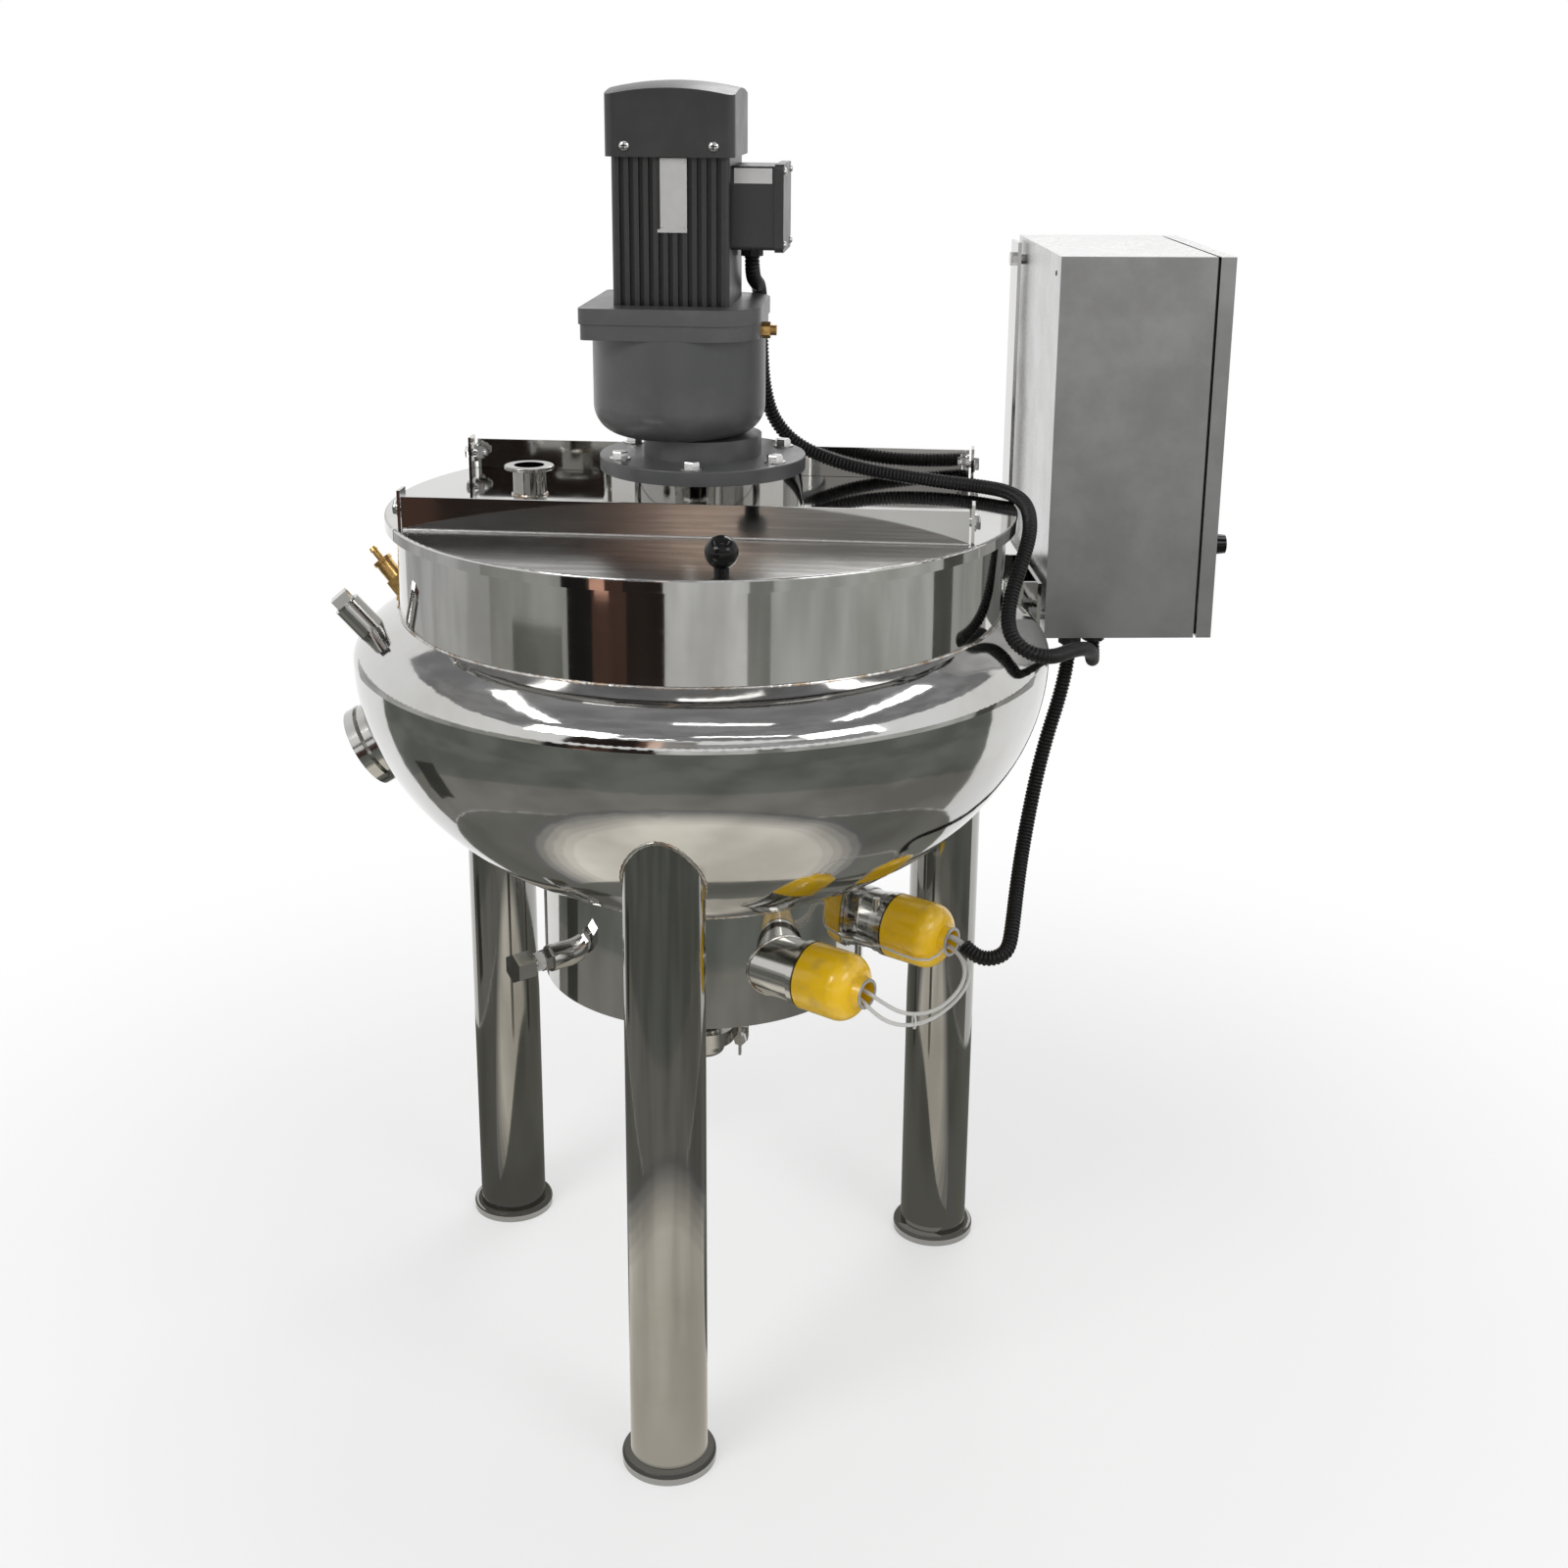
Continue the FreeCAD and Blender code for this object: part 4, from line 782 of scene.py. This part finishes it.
def heater_probe():
    """The thermostat probe strapped along the back heater's socket, with its sleeved wire."""
    side = HEATER_SIDES["back"]
    straps, probe, wire = Mould(), Mould(), Mould()
    for along in STRAP_PLACES:
        straps.lathe(STRAP_BAND, on_heater(side, along), HEATER_OUT, sides=60, closed=True)
        turn = math.radians(STRAP_SCREW_TURN)
        spot = on_heater(side, along + STRAP_SCREW_PLACE, turn, STRAP_SCREW_REACH)
        straps.lathe(STRAP_SCREW, spot, (0, 0, 1), sides=10)
    run = [at(*on_heater(side, along, math.radians(PROBE_TURN), PROBE_REACH)) for along in PROBE_RADII]
    probe.tube(run, [radius * MM for radius in PROBE_RADII.values()], sides=14)
    straps.piece("probe_straps", BOLT, "bright_fasteners")
    probe.piece("thermostat_probe", BOLT, "bright_fasteners")
    heater_wire(wire, side, PROBE_WIRE, radius=1.3)
    heater_wire(wire, side, PROBE_LOOP, radius=1.2)
    wire.piece("probe_wire", SLEEVE, "lead_sleeve")


def lead_tie():
    """The white tie round both heater leads."""
    mould = Mould()
    points = []
    for k in range(TIE_POINTS):
        c, s = math.cos(math.tau * k / TIE_POINTS), math.sin(math.tau * k / TIE_POINTS)
        swing = (TIE_REACH[0] * c, TIE_REACH[1] * c, TIE_REACH[2] * s)
        points.append(at(*(middle + part for middle, part in zip(TIE_MIDDLE, swing))))
    mould.tube(points, [1.1 * MM] * len(points), sides=8, closed=True)
    mould.piece("lead_tie", SLEEVE, "lead_sleeve")


# Drain, outlet and cabinet

DRAIN_TURN, DRAIN_LEVEL, TAPE_REACH = math.radians(222), 455, 200.5
TAPE_PROFILE = [(8.9, 0), (9.5, 0.4), (9.7, 3), (9.4, 6), (9.6, 9), (8.9, 9.6)]
CLAMP_NUT, CLAMP_NUT_PLACE = square_profile(0, 7, 0, 7), (40, -14, 317.8)
WING_ACROSS, WING_ALONG, WING_OFFSET, WING_HALF = (38.6, 41.4), (-21, -15), 12, 6
CABINET_CORNER, CABINET_TURN = (351.4, 105.7, 742.3), math.radians(7.3)
SEAL_STRIPS, SEAL_DEPTHS, SEAL_LEVELS = ((4, 8), (267, 271)), (160, 163), (4, 396)
HOLE_PLACE, HOLE_RADIUS, HOLE_DEPTH = (-0.2, 26, 381), 2.6, 0.3


def on_cabinet(x, y, z):
    """A point in the cabinet's own square frame, measured from its near lower corner."""
    c, s = math.cos(CABINET_TURN), math.sin(CABINET_TURN)
    return (CABINET_CORNER[0] + x * c - y * s, CABINET_CORNER[1] + x * s + y * c, CABINET_CORNER[2] + z)


def drain_tape():
    out = (math.cos(DRAIN_TURN), math.sin(DRAIN_TURN), 0)
    mould = Mould()
    spot = (out[0] * TAPE_REACH, out[1] * TAPE_REACH, DRAIN_LEVEL)
    mould.lathe(TAPE_PROFILE, spot, out, sides=28, closed=True)
    mould.piece("drain_thread_tape", SLEEVE, "lead_sleeve")


def clamp_wing():
    """The wing nut of the outlet's clamp: a hexagon and two wings."""
    mould = Mould()
    mould.lathe(CLAMP_NUT, CLAMP_NUT_PLACE, (0, -1, 0), sides=6)
    for side in (-1, 1):
        level = CLAMP_NUT_PLACE[2] + side * WING_OFFSET
        low, high = ((x, y, level + end * WING_HALF) for x, y, end in zip(WING_ACROSS, WING_ALONG, (-1, 1)))
        mould.block(low, high)
    mould.piece("clamp_wing_nut", BOLT, "brushed_steel")


def cabinet_marks():
    """The small hole in the cabinet's wall beside the pot, drawn as a thin black disc of painted shade, and
    the two upright strips of its door seal.
    """
    mould = Mould()
    inwards = (-math.cos(CABINET_TURN), -math.sin(CABINET_TURN), 0)
    # the hole is a thin black disc on the wall: painted shade
    mould.lathe(square_profile(0, HOLE_RADIUS, 0, HOLE_DEPTH), on_cabinet(*HOLE_PLACE), inwards, sides=20)
    near, far = SEAL_DEPTHS
    for low, high in SEAL_STRIPS:
        corners = ((near, low), (far, low), (far, high), (near, high))
        mould.prism(corners, SEAL_LEVELS, lambda x, y, z: at(*on_cabinet(x, y, z)))
    mould.piece("cabinet_seal", BLACK, "conduit_plastic")


lid_bolts()
lid_folds()
motor_screws()
motor_plates()
conduit_collars()
weld_beads()
heater_mouths()
heater_probe()
lead_tie()
drain_tape()
clamp_wing()
cabinet_marks()


# Studio: white floor and world, soft lamps, and cards that only the polished metal reflects

FLOOR_SIZE = 28.0
FLOOR_GLOW, FLOOR_GLOW_GAIN, FLOOR_FADE = 0.45, 0.55, (0.5, 1.5)
WORLD_LIGHT = 0.55
LAMP_AIM = (0.0, 0.0, 0.75)
SEEN_ALIKE = ("Is Camera Ray", "Is Glossy Ray", "Is Transmission Ray")
SCREEN_PARTS, FLOOR_PARTS = 12, 36


def flat_card(name, width, height, place, facing, material):
    """A rectangle that faces a point."""
    mesh = bpy.data.meshes.new(name)
    half, tall = width / 2, height / 2
    corners = [(-half, -tall, 0), (half, -tall, 0), (half, tall, 0), (-half, tall, 0)]
    mesh.from_pydata(corners, [], [(0, 1, 2, 3)])
    mesh.materials.append(material)
    card = bpy.data.objects.new(name, mesh)
    bpy.context.scene.collection.objects.link(card)
    card.location = place
    card.rotation_euler = (Vector(facing) - Vector(place)).to_track_quat("Z", "Y").to_euler()


def seen_part(tree):
    """One for the rays that show the background itself, nought for the rays that only light the object."""
    path = tree.nodes.new("ShaderNodeLightPath")
    seen = path.outputs[SEEN_ALIKE[0]]
    for name in SEEN_ALIKE[1:]:
        most = tree.nodes.new("ShaderNodeMath")
        most.operation = "MAXIMUM"
        tree.links.new(seen, most.inputs[0])
        tree.links.new(path.outputs[name], most.inputs[1])
        seen = most.outputs[0]
    return seen


def pale_floor():
    """Matt near-white floor that fades into the white background far from the object."""
    finish = Finish("pale_floor", roughness=0.9, base_color=(0.9, 0.9, 0.9, 1))
    centre = finish.node("VectorMath", {"operation": "LENGTH"}, {0: finish.place()}, output="Value")
    glow = finish.node("Emission", inputs={"Color": (1, 1, 1, 1), "Strength": 1.0})
    seen = Signal(finish, seen_part(finish.tree))
    far = (FLOOR_GLOW + FLOOR_GLOW_GAIN * centre.ramp(*FLOOR_FADE)) * seen
    mixed = finish.node("MixShader", inputs={0: far, 1: Signal(finish, finish.shader.outputs[0]), 2: glow})
    finish.tree.links.new(mixed.socket, finish.tree.nodes["Material Output"].inputs[0])
    return finish.material


def make_world():
    """White wherever it is seen, and dimmer as a light."""
    world = bpy.data.worlds.new("white_studio")
    bpy.context.scene.world = world
    world.use_nodes = True
    tree = world.node_tree
    back = tree.nodes["Background"]
    back.inputs["Color"].default_value = (1, 1, 1, 1)
    strength = tree.nodes.new("ShaderNodeMapRange")
    strength.inputs["To Min"].default_value = WORLD_LIGHT
    strength.inputs["To Max"].default_value = 1.0
    tree.links.new(seen_part(tree), strength.inputs["Value"])
    tree.links.new(strength.outputs[0], back.inputs["Strength"])


def add_lamp(name, place, width, height, power):
    data = bpy.data.lights.new(name, "AREA")
    data.shape = "RECTANGLE"
    data.size, data.size_y = width, height
    data.energy = power
    lamp = bpy.data.objects.new(name, data)
    bpy.context.scene.collection.objects.link(lamp)
    lamp.location = place
    lamp.rotation_euler = (Vector(LAMP_AIM) - Vector(place)).to_track_quat("-Z", "Y").to_euler()


def card_paint(colour, strength):
    """A card's own shade in two tones, the same under any lamp."""
    finish = Finish("studio_card")
    patches = finish.noise(scale=1.6, detail=3)
    dark = tuple(part * 0.7 for part in colour) + (1,)
    tone = finish.mix(patches.ramp(0.35, 0.65), (*colour, 1), dark)
    glow = finish.node("Emission", inputs={"Color": tone, "Strength": strength})
    finish.tree.links.new(glow.socket, finish.tree.nodes["Material Output"].inputs[0])
    return finish.material


def add_flag(name, places, colour, strength=1.0):
    """A studio card through rows of places that shapes the reflections: only glossy rays meet it."""
    mesh = bpy.data.meshes.new(name)
    width = len(places[0])
    faces = []
    for row in range(len(places) - 1):
        for k in range(width - 1):
            first = row * width + k
            faces.append((first, first + 1, first + 1 + width, first + width))
    mesh.from_pydata([at(*place) for row in places for place in row], [], faces)
    mesh.materials.append(card_paint(colour, strength))
    card = bpy.data.objects.new(name, mesh)
    bpy.context.scene.collection.objects.link(card)
    card.visible_camera = False
    card.visible_diffuse = False
    card.visible_transmission = False
    card.visible_shadow = False


def spread_out(start, end, parts):
    return [start + (end - start) * k / parts for k in range(parts + 1)]


def round_spot(bearing, reach, level, middle=(0, 0)):
    """A place at a bearing from the front, positive to the right, and a reach from the kettle's axis."""
    turn = math.radians(bearing)
    return (middle[0] + reach * math.sin(turn), middle[1] - reach * math.cos(turn), level)


def screen(name, start, end, colour, low=0, high=620, reach=2600):
    """A curved upright card between two bearings."""
    bearings = spread_out(start, end, SCREEN_PARTS)
    rows = [[round_spot(bearing, reach, level) for bearing in bearings] for level in (low, high)]
    add_flag(name, rows, colour)


def floor_ring(name, start, end, inner, outer, colour, level=9, middle=(0, 0)):
    """A flat card on the floor between two bearings and two reaches."""
    bearings = spread_out(start, end, FLOOR_PARTS)
    rows = [[round_spot(bearing, reach, level, middle) for bearing in bearings] for reach in (inner, outer)]
    add_flag(name, rows, colour)


def floor_disc(name, radius, colour, level, middle=(0, 0)):
    floor_ring(name, -180, 180, 0, radius, colour, level, middle)


def ceiling_card(name, middle, width, depth, level, colour, strength=1.0):
    x, y = middle
    rows = [[(x + side * width / 2, y + far * depth / 2, level) for side in (-1, 1)] for far in (-1, 1)]
    add_flag(name, rows, colour, strength)


flat_card("pale_floor", FLOOR_SIZE, FLOOR_SIZE, place=(0, 0, 0), facing=(0, 0, 1), material=pale_floor())
make_world()
add_lamp("key_lamp", (-1.9, -2.4, 3.0), width=1.6, height=1.2, power=46)
add_lamp("fill_lamp", (2.4, -2.0, 2.2), width=1.4, height=1.4, power=22)
add_lamp("back_lamp", (0.6, 2.6, 2.8), width=2.0, height=1.2, power=26)

# The walls round the kettle, from the back left over the front to the back right
DARK_BROWN = (0.03, 0.022, 0.019)
screen("left_screen", -132, -72, (0.58, 0.58, 0.57))
screen("left_edge_screen", -72, -40, (0.42, 0.42, 0.39))
screen("left_shape_screen", -62, -42, (0.2, 0.2, 0.18), low=0, high=215, reach=2590)
screen("dark_screen", -40, -31, (0.02, 0.019, 0.018))
screen("copper_screen", -31, -19, (0.08, 0.045, 0.034))
screen("copper_glint_screen", -30, -25, (0.9, 0.5, 0.36), low=285, high=335, reach=2590)
screen("dark_gap_screen", -19, -6, DARK_BROWN)
screen("bright_screen", -6, 22, (0.78, 0.78, 0.76))
screen("right_edge_screen", 22, 30, (0.3, 0.305, 0.28))
screen("right_screen", 30, 96, (0.56, 0.57, 0.54))
screen("right_dark_screen", 96, 107, (0.1, 0.1, 0.09))
screen("far_right_screen", 107, 134, (0.42, 0.42, 0.4))

# The hall above those walls
HALL = {"low": 1080, "high": 2500, "reach": 3100}
screen("brown_hall_screen", -34, -11.6, DARK_BROWN, **HALL)
screen("russet_hall_screen", -11.6, -8.6, (0.16, 0.08, 0.06), **HALL)
screen("copper_hall_screen", -8.6, -4.6, (1.0, 0.74, 0.6), **HALL)
screen("bright_hall_screen", -4.6, 5, (0.4, 0.385, 0.37), **HALL)
screen("side_hall_screen", 5, 60, (0.5, 0.5, 0.5), low=1080, high=1900, reach=3100)

# The floor, with a soft lit spot before the kettle
DULL_FLOOR = (0.2, 0.2, 0.18)
floor_disc("under_floor_ring", 780, DULL_FLOOR, level=7)
floor_ring("near_floor_ring", -112, 108, 780, 1150, (0.27, 0.265, 0.24))
floor_ring("middle_floor_ring", -112, 108, 1150, 2600, (0.19, 0.2, 0.185))
SPOT_STEPS, SPOT_LEVEL, SPOT_MIDDLE = 6, 11, (20, -360)
SPOT_RADIUS, SPOT_FADE = 560, 170
SPOT_DULL, SPOT_FULL = 0.2, (1.0, 0.95, 0.85)
for step in range(SPOT_STEPS):
    share = step / (SPOT_STEPS - 1)
    lit = tuple(SPOT_DULL + (full - SPOT_DULL) * share for full in SPOT_FULL)
    radius = SPOT_RADIUS - SPOT_FADE * share
    floor_disc("lit_floor_spot_%d" % step, radius, lit, SPOT_LEVEL + step, SPOT_MIDDLE)
floor_disc("shaded_floor", 300, DULL_FLOOR, level=19, middle=(0, 130))
floor_ring("left_floor_shade", -100, -88, 900, 1300, (0.06, 0.06, 0.055), level=12)

# The ceiling and its lamps: middle, width and depth
CEILING_LAMPS = [
    ((900, -2300), 1500, 160), ((-900, -3000), 1600, 160), ((1500, 200), 260, 1800),
    ((-1500, -300), 260, 1800), ((0, 1500), 1800, 160), ((300, -900), 900, 120)]
LAMP_LEVEL, LAMP_STRENGTH = 2900, 4.5
ceiling_card("grey_ceiling", (0, -400), 7000, 7000, level=3300, colour=(0.34, 0.34, 0.35))
for number, (middle, width, depth) in enumerate(CEILING_LAMPS):
    ceiling_card("ceiling_lamp_%d" % number, middle, width, depth, LAMP_LEVEL, (1.0, 1.0, 1.0), LAMP_STRENGTH)

bpy.context.scene.view_settings.view_transform = "Standard"
